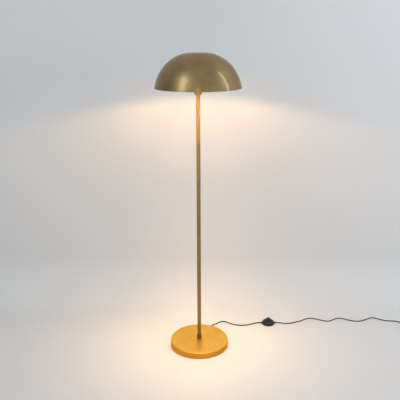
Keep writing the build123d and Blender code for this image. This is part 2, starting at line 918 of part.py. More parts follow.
def make_switch_top():
    """Domed shell with the button's collar, the screw posts and a hole for each lead."""
    inside = switch_radius - switch_wall
    inner_top_z = switch_top_z - switch_wall
    with BuildPart() as shell:
        with BuildSketch(switch_section_plane):
            with BuildLine():
                Polyline(
                    (inside, plate_bottom_z),
                    (switch_radius - 0.6, plate_bottom_z),
                    (switch_radius, plate_bottom_z + 1.2),
                    (switch_radius, switch_shoulder_z),
                )
                ThreePointArc((switch_radius, switch_shoulder_z), (28.6, 16.6), (15.0, switch_top_z))
                Polyline(
                    (15.0, switch_top_z),
                    (collar_bore, switch_top_z),
                    (collar_bore, collar_bottom_z),
                    (14.2, collar_bottom_z),
                    (14.2, inner_top_z),
                )
                ThreePointArc((14.2, inner_top_z), (27.0, 15.2), (inside, switch_shoulder_z))
                Line((inside, switch_shoulder_z), (inside, plate_bottom_z))
            make_face()
        revolve(axis=Axis((*switch_centre, 0), (0, 0, 1)))
        with BuildSketch(switch_plane(plate_top_z)):
            with PolarLocations(post_circle, post_count, start_angle=90):
                Circle(post_radius)
        extrude(amount=post_height)
        with BuildSketch(switch_plane(plate_top_z)):
            with PolarLocations(post_circle, post_count, start_angle=90):
                Circle(switch_screw_radius)
        extrude(amount=9, mode=Mode.SUBTRACT)
        for start in (-50, 25):
            with BuildSketch(across_switch(start)):
                Circle(nose_neck_radius)
            extrude(amount=25, mode=Mode.SUBTRACT)
    return shell


def make_switch_bottom():
    """Flat bottom plate with three counterbored screw holes."""
    with BuildPart() as plate:
        with BuildSketch(switch_plane(plate_bottom_z)):
            Circle(switch_radius - switch_wall)
        extrude(amount=plate_top_z - plate_bottom_z)
        with BuildSketch(switch_plane(plate_bottom_z)):
            with PolarLocations(post_circle, post_count, start_angle=90):
                Circle(switch_head_radius)
        extrude(amount=switch_head_depth, mode=Mode.SUBTRACT)
        with BuildSketch(switch_plane(plate_bottom_z)):
            with PolarLocations(post_circle, post_count, start_angle=90):
                Circle(switch_screw_radius)
        extrude(amount=3, mode=Mode.SUBTRACT)
    return plate


def make_switch_screws():
    """The three screws that hold the switch's two halves together."""
    with BuildPart() as screws:
        with BuildSketch(switch_plane(plate_bottom_z + 0.2)):
            with PolarLocations(post_circle, post_count, start_angle=90):
                Circle(switch_head_radius)
        extrude(amount=switch_head_depth - 0.2)
        with BuildSketch(switch_plane(plate_bottom_z + switch_head_depth)):
            with PolarLocations(post_circle, post_count, start_angle=90):
                Circle(switch_screw_radius)
        extrude(amount=switch_screw_length)
    return screws


def make_switch_feet():
    """Three rubber discs stuck under the bottom plate."""
    with BuildPart() as feet:
        with BuildSketch(switch_plane(0)):
            with PolarLocations(22, 3, start_angle=30):
                Circle(4.5)
        extrude(amount=plate_bottom_z)
    return feet


def make_switch_core():
    """Insulating block with the rotor's bearing bore and a seat for the spring."""
    return switch_turned(
        [
            (rotor_shaft_radius + 0.1, plate_top_z),
            (15.5, plate_top_z),
            (15.5, strip_z),
            (9.5, strip_z),
            (9.5, spring_bottom_z),
            (rotor_shaft_radius + 0.1, spring_bottom_z),
        ]
    )


def make_switch_rotor():
    """Star-shaped cam on a short shaft, turned on by each press of the button."""
    with BuildPart() as rotor:
        with BuildSketch(switch_plane(spring_bottom_z + 0.3)):
            Circle(3.6)
            with PolarLocations(3.6, 4):
                Rectangle(2.0, 2.0)
        extrude(amount=3.8)
        with BuildSketch(switch_plane(plate_top_z + 0.3)):
            Circle(rotor_shaft_radius)
        extrude(amount=spring_bottom_z - plate_top_z)
    return rotor


def make_switch_button():
    """Round push button, hollow below, with a retaining flange and a centre stem."""
    with BuildPart() as button:
        with BuildSketch(switch_plane(button_bottom_z)):
            Circle(button_radius)
        extrude(amount=button_top_z - button_bottom_z)
        fillet(button.edges().group_by(Axis.Z)[-1], 1.8)
        with BuildSketch(switch_plane(button_bottom_z)):
            Circle(button_flange_radius)
        extrude(amount=1.6)
        with BuildSketch(switch_plane(button_bottom_z)):
            Circle(10.4)
            Circle(3.0, mode=Mode.SUBTRACT)
        extrude(amount=spring_top_z - button_bottom_z, mode=Mode.SUBTRACT)
        with BuildSketch(switch_plane(button_bottom_z)):
            Circle(3.2)
        extrude(amount=3.0, mode=Mode.SUBTRACT)
    return button


def make_switch_spring():
    """Return spring under the button, between the block and the button."""
    height = spring_top_z - spring_bottom_z - 2 * spring_wire_radius
    base = Vector(*switch_centre, spring_bottom_z + spring_wire_radius)
    with BuildPart() as spring:
        with BuildLine() as route:
            Helix(pitch=height / spring_turns, height=height, radius=spring_radius, center=base)
        with BuildSketch(Plane(origin=route.line @ 0, z_dir=route.line % 0)):
            Circle(spring_wire_radius)
        sweep(is_frenet=True)
    return spring


def make_switch_contacts():
    """Four brass terminal strips on the block, two for each lead."""
    with BuildPart() as contacts:
        with BuildSketch(switch_plane(strip_z)):
            with GridLocations(2 * contact_offset_x, 2 * contact_offset_y, 2, 2):
                Rectangle(5.0, 3.6)
        extrude(amount=strip_thickness)
    return contacts


def make_switch_terminal_screws():
    """Four screws that clamp the cores on the switch's terminal strips."""
    with BuildPart() as screws:
        with BuildSketch(switch_plane(strip_z + strip_thickness)):
            with GridLocations(2 * contact_offset_x, 2 * contact_offset_y, 2, 2):
                Circle(1.5)
        extrude(amount=1.1)
    return screws


def make_switch_noses():
    """The two rubber reliefs, each with a flange inside the shell and a tapered nose."""
    body_reach = switch_radius + 0.1
    with BuildPart() as noses:
        for side in (-1, 1):
            plane = lying_plane((*switch_centre, switch_cord_z), (side, 0, 0))
            with BuildSketch(plane):
                with BuildLine():
                    Polyline(
                        (cord_radius, 24.0),
                        (nose_neck_radius, 24.0),
                        (nose_neck_radius, body_reach),
                        (nose_neck_radius + 0.6, body_reach),
                        (nose_neck_radius + 0.5, body_reach + 2.0),
                        (3.5, nose_reach - 0.4),
                        (3.2, nose_reach),
                        (cord_radius, nose_reach),
                        close=True,
                    )
                make_face()
            revolve(axis=Axis(plane.origin, plane.y_dir))
    return noses


def make_switch_leads():
    """The lead's sheathed ends inside the switch, from each nose's tip to the clamps."""
    with BuildPart() as leads:
        for side in (-1, 1):
            with BuildSketch(across_switch(side * nose_reach, -side)):
                Circle(cord_radius)
            extrude(amount=nose_reach - lead_end)
    return leads


def make_switch_clamps():
    """Two plastic bridges that hold the sheathed ends down on the plate."""
    with BuildPart() as clamps:
        with BuildSketch(switch_plane(plate_top_z)):
            with Locations((-21.6, 0), (21.6, 0)):
                Rectangle(4.0, 12.0)
        extrude(amount=8.4)
        for side in (-1, 1):
            with BuildSketch(across_switch(side * 15, side)):
                Circle(cord_radius)
            extrude(amount=12, mode=Mode.SUBTRACT)
    return clamps


def make_switch_cores():
    """The four stripped cores, from the sheathed ends to the terminal strips."""
    centre_x, centre_y = switch_centre
    core_z = strip_z + 1.5
    with BuildPart() as cores:
        for side_x in (-1, 1):
            for side_y in (-1, 1):
                with BuildLine() as route:
                    FilletPolyline(
                        (centre_x + side_x * lead_end, centre_y + side_y * 1.3, core_z),
                        (centre_x + side_x * (lead_end - 1.4), centre_y + side_y * 1.3, core_z),
                        (centre_x + side_x * 16.9, centre_y + side_y * 3.6, core_z),
                        (centre_x + side_x * 15.4, centre_y + side_y * contact_offset_y, core_z),
                        radius=0.8,
                    )
                with BuildSketch(Plane(origin=route.line @ 0, z_dir=route.line % 0)):
                    Circle(0.45)
                sweep()
    return cores


def make_inner_cord():
    """The lead inside the lamp: in through the gland, up the pole to the lampholder."""
    points = [exit_point(gland_tip_distance), exit_point(0), (0, 0, sheath_end_z)]
    return routed_tube(points, inner_bend_radius, cord_radius)


def coil_half_circles():
    """Every half turn of the coil as (centre y offset, radius, layer z), in the order wound."""
    step = coil_pitch / 2
    low, high = cord_radius, cord_radius + coil_pitch
    inward = [
        (0.0 if turn % 2 == 0 else -step, coil_outer_radius - turn * step, low)
        for turn in range(coil_half_turns)
    ]
    inner = coil_outer_radius - coil_half_turns * step
    outward = [
        (step if turn % 2 == 0 else 0.0, inner + (turn + 1) * step, high)
        for turn in range(coil_half_turns - 1)
    ]
    return inward, inner, outward


def make_cord_coil():
    """The put-away length: wound in, up one layer in a half turn, and out again."""
    inward, inner, outward = coil_half_circles()
    centre_x, centre_y = coil_centre
    low, high = cord_radius, cord_radius + coil_pitch
    climb_reach = math.hypot(inner, coil_pitch / 2)
    with BuildPart() as coil:
        with BuildLine() as route:
            Line(coil_entry, (centre_x, centre_y + coil_outer_radius, low))
            add_half_circles(inward, 1)
            middle = (centre_x + climb_reach, centre_y, (low + high) / 2)
            lift = math.atan2(coil_pitch / 2, inner)
            TangentArc((centre_x, centre_y + inner, low), middle, tangent=(1, 0, 0))
            TangentArc(
                middle,
                (centre_x, centre_y - inner, high),
                tangent=(0, -math.cos(lift), math.sin(lift)),
            )
            add_half_circles(outward, -1)
            Line((centre_x, coil_entry[1], high), coil_exit)
        with BuildSketch(Plane(origin=coil_entry, z_dir=(1, 0, 0))):
            Circle(cord_radius)
        sweep()
    return coil, route.wires()[0]


def add_half_circles(half_circles, first_side):
    """Draws half circles that start at +y (side 1) or at -y (side -1), all turning clockwise."""
    side = first_side
    for offset, radius, height in half_circles:
        centre_x, centre_y = coil_centre[0], coil_centre[1] + offset
        ThreePointArc(
            (centre_x, centre_y + side * radius, height),
            (centre_x + side * radius, centre_y, height),
            (centre_x, centre_y - side * radius, height),
        )
        side = -side


def least_gap(line, samples=900):
    """Least free gap between turns of a wound tube, on points along its line."""
    points = [line @ (n / samples) for n in range(samples + 1)]
    spacing = line.length / samples
    skip = int(4 * cord_diameter / spacing)
    nearest = min(
        (points[a] - points[b]).length for a in range(samples) for b in range(a + skip, samples + 1)
    )
    return nearest - cord_diameter


def make_plug_relief():
    """Ribbed taper moulded between the lead and the plug."""
    plane = lying_plane((plug_x, relief_start_y, plug_z), (0, -1, 0))
    step = (plug_relief_length - 3) / relief_ribs
    outline = [(0, 0), (3.4, 0), (3.6, 1.5)]
    for rib in range(relief_ribs):
        start = 1.5 + rib * step
        radius = 3.8 + 0.45 * rib
        outline += [
            (radius, start + 0.15 * step),
            (radius + 0.1, start + 0.7 * step),
            (radius - 0.55, start + 0.75 * step),
            (radius - 0.5, start + step),
        ]
    outline += [(6.0, plug_relief_length - 1.5), (6.0, plug_relief_length), (0, plug_relief_length)]
    return turned(outline, plane)


def pin_face_plane(facing):
    """Upright plane on the plug's front face, looking along +y (facing 1) or -y (facing -1)."""
    return Plane(origin=(plug_x, plug_front_y, plug_z), x_dir=(1, 0, 0), z_dir=(0, facing, 0))


def make_plug_body():
    """Flat two-pin plug body, narrower at the lead than at the pins, with grip hollows."""
    rear_y = relief_start_y - plug_relief_length
    shoulder_y = plug_front_y + 9.0
    waist_y = plug_front_y + 22.0
    left, right = plug_x - plug_width / 2, plug_x + plug_width / 2
    rear_left, rear_right = plug_x - plug_rear_half_width, plug_x + plug_rear_half_width
    with BuildPart() as body:
        with BuildSketch(Plane.XY):
            with BuildLine():
                Line((left, plug_front_y), (left, shoulder_y))
                ThreePointArc((left, shoulder_y), (left + plug_waist, waist_y), (rear_left, rear_y))
                Line((rear_left, rear_y), (rear_right, rear_y))
                ThreePointArc((rear_right, rear_y), (right - plug_waist, waist_y), (right, shoulder_y))
                Polyline((right, shoulder_y), (right, plug_front_y), (left, plug_front_y))
            make_face()
        extrude(amount=plug_thickness)
        fillet(body.edges().filter_by(Axis.Z), 2.0)
        fillet(body.edges().group_by(Axis.Z)[-1] + body.edges().group_by(Axis.Z)[0], 1.8)
        with BuildSketch(pin_face_plane(1)):
            with GridLocations(pin_spacing, 0, 2, 1):
                Circle(pin_shank_radius)
        extrude(amount=pin_depth, mode=Mode.SUBTRACT)
    return body


def make_plug_pins():
    """Two round pins: a full-size bare tip on a slimmer shank that runs into the body."""
    with BuildPart() as pins:
        for side in (-1, 1):
            plane = lying_plane((plug_x + side * pin_spacing / 2, plug_front_y, plug_z), (0, -1, 0))
            with BuildSketch(plane):
                with BuildLine():
                    Polyline(
                        (0, -pin_depth),
                        (pin_shank_radius, -pin_depth),
                        (pin_shank_radius, sleeve_length),
                        (pin_radius, sleeve_length),
                        (pin_radius, pin_length - 0.8),
                        (pin_radius - 0.8, pin_length),
                        (0, pin_length),
                        close=True,
                    )
                make_face()
            revolve(axis=Axis(plane.origin, plane.y_dir))
    return pins


def make_plug_sleeves():
    """Insulating sleeves over the pins' shanks."""
    with BuildPart() as sleeves:
        with BuildSketch(pin_face_plane(-1)):
            with GridLocations(pin_spacing, 0, 2, 1):
                Circle(pin_radius - 0.1)
                Circle(pin_shank_radius, mode=Mode.SUBTRACT)
        extrude(amount=sleeve_length)
    return sleeves


def main():
    os.makedirs("parts", exist_ok=True)

    save("base_cover", make_base_cover())
    save("base_weight", make_base_weight())
    save("base_pad", ring(pad_radius, pad_hole_radius, 0, pad_thickness))
    save("base_washer", ring(washer_radius, nipple_radius, web_z - washer_thickness, web_z))
    save("base_nut", make_hex_nut(web_z - washer_thickness - nut_thickness))
    save("cord_gland", make_cord_gland())
    save("cord_clamp", make_cord_clamp())
    save("cord_clamp_screws", make_clamp_screws())

    save("pole_foot", make_pole_foot())
    for index, name in enumerate(("pole_lower", "pole_middle", "pole_upper")):
        save(name, make_pole_section(index))
    save("pole_inserts", make_pole_inserts())
    save("pole_nipples", make_pole_nipples())
    save("foot_nipple", ring(nipple_radius, nipple_bore, web_z - 6.2, pole_bottom_z + 16))
    save("head_nipple", ring(nipple_radius, nipple_bore, cup_z - 16, cap_neck_top_z))

    save("holder_cup", make_holder_cup())
    save("cup_nut", make_hex_nut(cup_z + cup_wall))
    save("holder_cap", make_holder_cap())
    save("holder_core", make_holder_core())
    save("holder_terminals", make_holder_terminals())
    save("terminal_screws", make_terminal_screws())
    save("centre_contact", make_centre_contact())
    save("side_contact", make_side_contact())
    save("screw_shell", ring(shell_radius, shell_bore, shell_bottom_z, skirt_top_z - 2))
    save("holder_skirt", make_holder_skirt())
    save("holder_wires", make_holder_wires())
    save("shade_ring", make_shade_ring())
    save("shade_spider", make_shade_spider())
    save("shade", make_shade())

    save("bulb_globe", make_bulb_globe())
    save("bulb_housing", make_bulb_housing())
    save("led_board", make_led_board())
    save("bulb_cap", make_bulb_cap())
    save("bulb_insulator", make_bulb_insulator())
    save("bulb_contact", make_bulb_contact())

    save("switch_top", make_switch_top())
    save("switch_bottom", make_switch_bottom())
    save("switch_screws", make_switch_screws())
    save("switch_feet", make_switch_feet())
    save("switch_core", make_switch_core())
    save("switch_rotor", make_switch_rotor())
    save("switch_button", make_switch_button())
    save("switch_spring", make_switch_spring())
    save("switch_contacts", make_switch_contacts())
    save("switch_terminal_screws", make_switch_terminal_screws())
    save("switch_noses", make_switch_noses())
    save("switch_leads", make_switch_leads())
    save("switch_clamps", make_switch_clamps())
    save("switch_cores", make_switch_cores())

    inner_cord, length = make_inner_cord()
    report_tube("inner_cord", inner_cord, length, cord_radius)
    save("inner_cord", inner_cord)
    for name, points in (
        ("cord_to_switch", route_to_switch),
        ("cord_to_coil", route_to_coil),
        ("cord_to_plug", route_to_plug),
    ):
        radii = corner_radii(points)
        tube, length = routed_tube(points, radii, cord_radius)
        report_tube(name, tube, length, cord_radius)
        print(f"{name}: radii", [round(radius, 1) for radius in radii])
        save(name, tube)
    coil, line = make_cord_coil()
    report_tube("cord_coil", coil, line.length, cord_radius)
    print(f"cord_coil: least gap to itself {least_gap(line):.2f}")
    save("cord_coil", coil)

    save("plug_relief", make_plug_relief())
    save("plug_body", make_plug_body())
    save("plug_pins", make_plug_pins())
    save("plug_sleeves", make_plug_sleeves())


main()
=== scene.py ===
import json
import math

import bpy
from mathutils import Matrix, Vector

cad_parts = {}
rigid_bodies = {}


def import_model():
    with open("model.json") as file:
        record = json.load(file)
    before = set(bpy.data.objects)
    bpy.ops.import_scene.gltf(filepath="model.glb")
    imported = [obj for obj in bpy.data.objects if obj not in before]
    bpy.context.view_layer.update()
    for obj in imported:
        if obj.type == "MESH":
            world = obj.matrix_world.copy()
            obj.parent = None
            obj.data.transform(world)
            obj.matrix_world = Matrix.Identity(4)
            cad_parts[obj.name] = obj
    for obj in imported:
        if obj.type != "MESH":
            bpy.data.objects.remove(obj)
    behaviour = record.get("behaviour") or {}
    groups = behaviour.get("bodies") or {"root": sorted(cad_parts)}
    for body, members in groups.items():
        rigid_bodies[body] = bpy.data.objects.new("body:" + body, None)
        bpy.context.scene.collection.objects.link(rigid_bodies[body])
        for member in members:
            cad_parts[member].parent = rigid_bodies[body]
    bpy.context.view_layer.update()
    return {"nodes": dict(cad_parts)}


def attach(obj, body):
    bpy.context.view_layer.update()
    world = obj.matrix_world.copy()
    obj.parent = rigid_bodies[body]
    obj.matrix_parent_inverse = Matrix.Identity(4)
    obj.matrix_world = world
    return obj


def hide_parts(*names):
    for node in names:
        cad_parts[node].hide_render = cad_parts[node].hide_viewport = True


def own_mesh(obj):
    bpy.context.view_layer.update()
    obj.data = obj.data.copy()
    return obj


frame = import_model()
print("loaded", len(frame["nodes"]), "solids")

mm = 0.001

# places that several pieces share, in millimetres and degrees
switchMiddle = (382.7, 206.0)
exitAngle = 69.0  # the way from the pole to where the lead leaves the foot


def onCircle(middle, radius, degrees):
    angle = math.radians(degrees)
    return middle[0] + radius * math.cos(angle), middle[1] + radius * math.sin(angle)


# the camera comes first, because the cords are measured against its view
cameraView = {
    "place": (0.0065, -2.58775, 1.5488),  # metres
    "pitchDown": 16.53,  # degrees below level
    "roll": -0.26,  # degrees; the right side of the picture stands a little higher
    "lens": 50.385,
    "sensor": 36.0,
}


def makeCamera(view):
    data = bpy.data.cameras.new("camera")
    data.lens = view["lens"]
    data.sensor_width = view["sensor"]
    data.dof.use_dof = False
    data.clip_end = 50
    camera = bpy.data.objects.new("camera", data)
    bpy.context.scene.collection.objects.link(camera)
    camera.matrix_world = (
        Matrix.Translation(view["place"])
        @ Matrix.Rotation(math.radians(90 - view["pitchDown"]), 4, "X")
        @ Matrix.Rotation(math.radians(view["roll"]), 4, "Z")
    )
    bpy.context.scene.camera = camera
    bpy.context.scene.view_settings.view_transform = "Standard"
    print("camera placed")


makeCamera(cameraView)


def linearColour(hexText):
    # sRGB hex to the linear values that a shader wants
    values = [int(hexText[i : i + 2], 16) / 255 for i in (1, 3, 5)]
    return [v / 12.92 if v <= 0.04045 else ((v + 0.055) / 1.055) ** 2.4 for v in values] + [1.0]


def addNode(tree, kind, settings=None, inputs=None):
    # settings are the node's own properties; inputs are values, or sockets to link from
    node = tree.nodes.new(kind)
    for name, value in (settings or {}).items():
        if name == "stops":  # a colour ramp's (position, hex) pairs
            while len(node.color_ramp.elements) < len(value):
                node.color_ramp.elements.new(0.5)
            for element, (position, hexText) in zip(node.color_ramp.elements, value):
                element.position = position
                element.color = linearColour(hexText)
        else:
            setattr(node, name, value)
    for key, value in (inputs or {}).items():
        if isinstance(value, bpy.types.NodeSocket):
            tree.links.new(value, node.inputs[key])
        else:
            node.inputs[key].default_value = value
    return node


def addMath(tree, operation, *values):
    node = addNode(tree, "ShaderNodeMath", {"operation": operation}, dict(enumerate(values)))
    return node.outputs["Value"]


def addVector(tree, **parts):
    return addNode(tree, "ShaderNodeCombineXYZ", inputs=parts).outputs["Vector"]


noiseSpan = (0.3, 0.7)  # nearly all values of a noise lie between these


def addNoise(tree, place, width, detail=2.0, roughness=0.5):
    # soft random values from 0 to 1; the width of their patches is in metres
    inputs = {"Vector": place, "Scale": 1 / width, "Detail": detail, "Roughness": roughness}
    return addNode(tree, "ShaderNodeTexNoise", inputs=inputs).outputs["Fac"]


def addRange(tree, value, start, end, low, high):
    inputs = {"Value": value, "From Min": start, "From Max": end, "To Min": low, "To Max": high}
    return addNode(tree, "ShaderNodeMapRange", inputs=inputs).outputs["Result"]


def addTones(tree, value, *stops):
    return addNode(tree, "ShaderNodeValToRGB", {"stops": stops}, {"Fac": value}).outputs["Color"]


def addRelief(tree, height, depth, strength=1.0):
    inputs = {"Height": height, "Distance": depth, "Strength": strength}
    return addNode(tree, "ShaderNodeBump", inputs=inputs).outputs["Normal"]


def startFinish(name, shaderValues):
    # a material with its one shader; what is the same all over goes straight on its sockets
    material = bpy.data.materials.new(name)
    material.use_nodes = True
    tree = material.node_tree
    tree.nodes.clear()
    shader = addNode(tree, "ShaderNodeBsdfPrincipled", inputs=shaderValues)
    output = addNode(tree, "ShaderNodeOutputMaterial")
    tree.links.new(shader.outputs["BSDF"], output.inputs["Surface"])
    place = addNode(tree, "ShaderNodeTexCoord").outputs["Object"]
    return material, tree, shader, place


def endFinish(material, shader, tone, relief, gloss=None):
    # links what changes from place to place to the shader
    links = material.node_tree.links
    links.new(tone, shader.inputs["Base Color"])
    links.new(relief, shader.inputs["Normal"])
    if gloss is not None:
        links.new(gloss, shader.inputs["Roughness"])
    return material


# Brass, browned in a bath. It gives the eye a satin olive-gold with soft reflections, a fine grain
# from the tool and slightly uneven browning. The dome, the cup and the collar are clear-lacquered
# as well, which adds a pale gloss; the tube and the drum are left bare.
brassLooks = {
    "spunBrassDome": {
        "tones": [(0.42, "#94794f"), (0.65, "#a38759"), (0.9, "#b09565")],
        "edgeTone": "#a8a28a",
        "grainRuns": "round",  # rings left by the spinning tool
        "grainWidth": 1.2 * mm,  # real rings are finer; drawn as coarse as they need to show
        "patchWidth": 90 * mm,
        "roughness": (0.36, 0.42),
        "lacquer": 0.8,
        "lacquerRoughness": 0.08,
        "grainDepth": 0.006 * mm,
    },
    "turnedBrassCup": {
        "tones": [(0.42, "#ad8d55"), (0.65, "#c29f60"), (0.9, "#d0ad6c")],
        "edgeTone": "#c9ab78",
        "grainRuns": "round",
        "grainWidth": 0.8 * mm,
        "patchWidth": 30 * mm,
        "roughness": (0.26, 0.34),
        "lacquer": 0.6,
        "lacquerRoughness": 0.12,
        "grainDepth": 0.006 * mm,
    },
    "turnedBrassCollar": {
        # browner, as turned rings come
        "tones": [(0.42, "#7a5527"), (0.65, "#8a6230"), (0.9, "#9b713c")],
        "edgeTone": "#9b713c",
        "grainRuns": "round",
        "grainWidth": 0.8 * mm,
        "patchWidth": 20 * mm,
        "roughness": (0.2, 0.28),
        "lacquer": 0.6,
        "lacquerRoughness": 0.1,
        "grainDepth": 0.006 * mm,
    },
    "drawnBrassTube": {
        "tones": [(0.45, "#a1824f"), (0.7, "#ae8f58"), (0.95, "#bb9e66")],
        "edgeTone": "#c9a66b",
        "grainRuns": "along",  # scratches along the tube
        "grainWidth": 0.8 * mm,
        "patchWidth": 60 * mm,
        "roughness": (0.58, 0.66),
        "lacquer": 0.0,
        "lacquerRoughness": 0.2,
        "grainDepth": 0.02 * mm,
    },
    "brushedBrassDrum": {
        # painted light: these tones are far brighter and more golden than the other brass; the
        # bulb's warm light on the top is painted into the colour
        "tones": [(0.4, "#f5bc5a"), (0.62, "#fdc866"), (0.9, "#ffd473")],
        # painted shade: the drum's side is multiplied down by this colour, as the bulb's light from
        # above passes it by
        "paintedSideShade": "#d4c08c",
        "edgeTone": "#ffd070",
        "grainRuns": "round",  # brushed round its middle on a turntable
        "grainWidth": 1.0 * mm,
        "patchWidth": 60 * mm,
        "roughness": (0.34, 0.44),
        "lacquer": 0.0,
        "lacquerRoughness": 0.2,
        "grainDepth": 0.015 * mm,
    },
}


# what the brass finishes have in common
brassSkin = {
    "speckWidth": 5 * mm,  # spots where the surface is a little rougher
    "scratchLength": 60,  # a scratch along the tube is this many times longer than wide
    "grainShare": 0.3,  # how much of the browning follows the grain
    "grainStrength": 0.3,
    "shoulder": (29.5 * mm, 30.5 * mm),  # where a drum's side ends and its top begins
}


def brownedBrass(name, look):
    material, tree, shader, place = startFinish(
        name,
        {
            "Metallic": 1.0,
            "Coat Weight": look["lacquer"],
            "Coat Roughness": look["lacquerRoughness"],
            "Specular Tint": linearColour(look["edgeTone"]),
        },
    )
    if look["grainRuns"] == "round":
        height = addNode(tree, "ShaderNodeSeparateXYZ", inputs={0: place}).outputs["Z"]
        flat = addNode(
            tree, "ShaderNodeVectorMath", {"operation": "MULTIPLY"}, {0: place, 1: (1, 1, 0)}
        )
        radius = addNode(
            tree, "ShaderNodeVectorMath", {"operation": "LENGTH"}, {0: flat.outputs[0]}
        )
        grainPlace = addVector(tree, X=radius.outputs["Value"], Y=height)
    else:
        stretch = (1, 1, 1 / brassSkin["scratchLength"])
        mapping = addNode(tree, "ShaderNodeMapping", inputs={0: place, "Scale": stretch})
        grainPlace = mapping.outputs["Vector"]
    grain = addNoise(tree, grainPlace, look["grainWidth"], 3.0)
    patches = addNoise(tree, place, look["patchWidth"], 5.0)
    specks = addNoise(tree, place, brassSkin["speckWidth"], 5.0)
    browning = addMath(tree, "MULTIPLY_ADD", grain, brassSkin["grainShare"], patches)
    tone = addTones(tree, browning, *look["tones"])
    if "paintedSideShade" in look:  # painted shade: the upright side is coloured darker and paler than the top, which the bulb lights from above
        upright = addRange(tree, height, *brassSkin["shoulder"], 0.0, 1.0)
        side = addNode(
            tree,
            "ShaderNodeMix",
            {"data_type": "RGBA"},
            {0: upright, 6: linearColour(look["paintedSideShade"]), 7: (1, 1, 1, 1)},
        )
        # the painted shade darkens the tone on the side only
        sideShaded = addNode(
            tree,
            "ShaderNodeMix",
            {"data_type": "RGBA", "blend_type": "MULTIPLY"},
            {0: 1.0, 6: tone, 7: side.outputs[2]},
        )
        tone = sideShaded.outputs[2]
    gloss = addRange(tree, specks, *noiseSpan, *look["roughness"])
    relief = addRelief(tree, grain, look["grainDepth"], brassSkin["grainStrength"])
    return endFinish(material, shader, tone, relief, gloss)


# Small metal parts, each with a soft tone change over the grain of its making
metalLooks = {
    # turned or pressed brass with no coat: warm yellow, fairly bright
    "bareBrass": {
        "tones": ("#b98e3f", "#cda555"), "roughness": (0.22, 0.34),
        "grain": 0.5 * mm, "depth": 0.01 * mm,
    },
    # steel with a bright zinc plate: cool grey, satin rather than mirror
    "zincPlate": {
        "tones": ("#9aa0a6", "#b4b8bb"), "roughness": (0.3, 0.45),
        "grain": 0.6 * mm, "depth": 0.01 * mm,
    },
    # brass with a nickel plate: a warmer, glossier grey
    "nickelPlate": {
        "tones": ("#b9b4a8", "#c9c5ba"), "roughness": (0.15, 0.24),
        "grain": 0.5 * mm, "depth": 0.01 * mm,
    },
    # oiled spring wire: darker grey with drawing marks
    "springSteel": {
        "tones": ("#7d7f83", "#93959a"), "roughness": (0.28, 0.4),
        "grain": 0.3 * mm, "depth": 0.01 * mm,
    },
}

# Mouldings, paint and glaze, each with the skin that its tool, gun or kiln leaves
skinLooks = {
    # cellulose paint sprayed inside the dome: off-white, an even matt skin
    "sprayedWhite": {
        "tones": ("#e6e1d5", "#ece7dc"), "roughness": (0.5, 0.6),
        "grain": 1.5 * mm, "depth": 0.03 * mm,
    },
    # polyester powder coat: off-white, an orange-peel skin about 1.5 mm across
    "powderCoat": {
        "tones": ("#dedbd0", "#e5e2d8"), "roughness": (0.4, 0.5),
        "grain": 1.5 * mm, "depth": 0.05 * mm,
    },
    # moulded rubber: matt, near black
    "mouldedRubber": {
        "tones": ("#181614", "#211f1d"), "roughness": (0.55, 0.7),
        "grain": 0.6 * mm, "depth": 0.04 * mm,
    },
    # flexible PVC sheath: brownish black, a low satin shine and faint draw marks
    "pvcSheath": {
        "tones": ("#35251a", "#412e21"), "roughness": (0.5, 0.62),
        "grain": 0.9 * mm, "depth": 0.03 * mm,
    },
    # ABS from a spark-eroded tool: fine pits about 0.5 mm across
    "sparkErodedAbs": {
        "tones": ("#101110", "#181917"), "roughness": (0.46, 0.6),
        "grain": 0.5 * mm, "depth": 0.05 * mm,
    },
    # phenolic moulding, as lampholders are: hard and slightly glossy
    "phenolic": {
        "tones": ("#151414", "#1e1c1b"), "roughness": (0.25, 0.35),
        "grain": 0.8 * mm, "depth": 0.02 * mm,
    },
    # glazed porcelain: warm white, a wavy glassy skin
    "glazedPorcelain": {
        "tones": ("#e6e1d5", "#eeeae0"), "roughness": (0.08, 0.16),
        "grain": 4 * mm, "depth": 0.04 * mm,
    },
    # white PBT moulding: smooth and satin
    "whitePbt": {
        "tones": ("#dfded9", "#e8e7e2"), "roughness": (0.35, 0.45),
        "grain": 0.6 * mm, "depth": 0.03 * mm,
    },
    # black glass bead round the bulb's tip: glossy and smooth
    "blackGlass": {
        "tones": ("#101012", "#18181b"), "roughness": (0.06, 0.12),
        "grain": 2 * mm, "depth": 0.01 * mm,
    },
}


def surfaceFinish(name, look, metallic):
    material, tree, shader, place = startFinish(name, {"Metallic": metallic})
    grain = addNoise(tree, place, look["grain"], 3.0)
    drift = addNoise(tree, place, 16 * look["grain"], 4.0)  # the tone changes far more slowly
    tone = addTones(tree, drift, *zip(noiseSpan, look["tones"]))
    gloss = addRange(tree, grain, *noiseSpan, *look["roughness"])
    return endFinish(material, shader, tone, addRelief(tree, grain, look["depth"], 0.5), gloss)


# Parts in two colours, one below a place on an axis and the other above it
splitLooks = {
    # PVC core insulation, blue and brown
    "holderCores": {
        "tones": ("#2c4d86", "#5f3a22"), "axis": "X", "edge": 0.0, "roughness": 0.38,
        "grain": 1 * mm, "depth": 0.03 * mm,
    },
    "switchCores": {
        "tones": ("#2c4d86", "#5f3a22"), "axis": "Y", "edge": switchMiddle[1] * mm,
        "roughness": 0.38, "grain": 1 * mm, "depth": 0.03 * mm,
    },
    # aluminium board under white solder mask; the chips that stand on it are amber phosphor
    "whiteSolderMask": {
        "tones": ("#e6e7e4", "#e3b64a"), "axis": "Z", "edge": 1376.1 * mm, "roughness": 0.4,
        "grain": 0.7 * mm, "depth": 0.02 * mm,
    },
}


def splitFinish(name, look):
    material, tree, shader, place = startFinish(name, {"Roughness": look["roughness"]})
    parts = addNode(tree, "ShaderNodeSeparateXYZ", inputs={0: place})
    side = addMath(tree, "GREATER_THAN", parts.outputs[look["axis"]], look["edge"])
    tone = addTones(tree, side, *zip((0.0, 1.0), look["tones"]))
    skin = addNoise(tree, place, look["grain"])
    return endFinish(material, shader, tone, addRelief(tree, skin, look["depth"]))


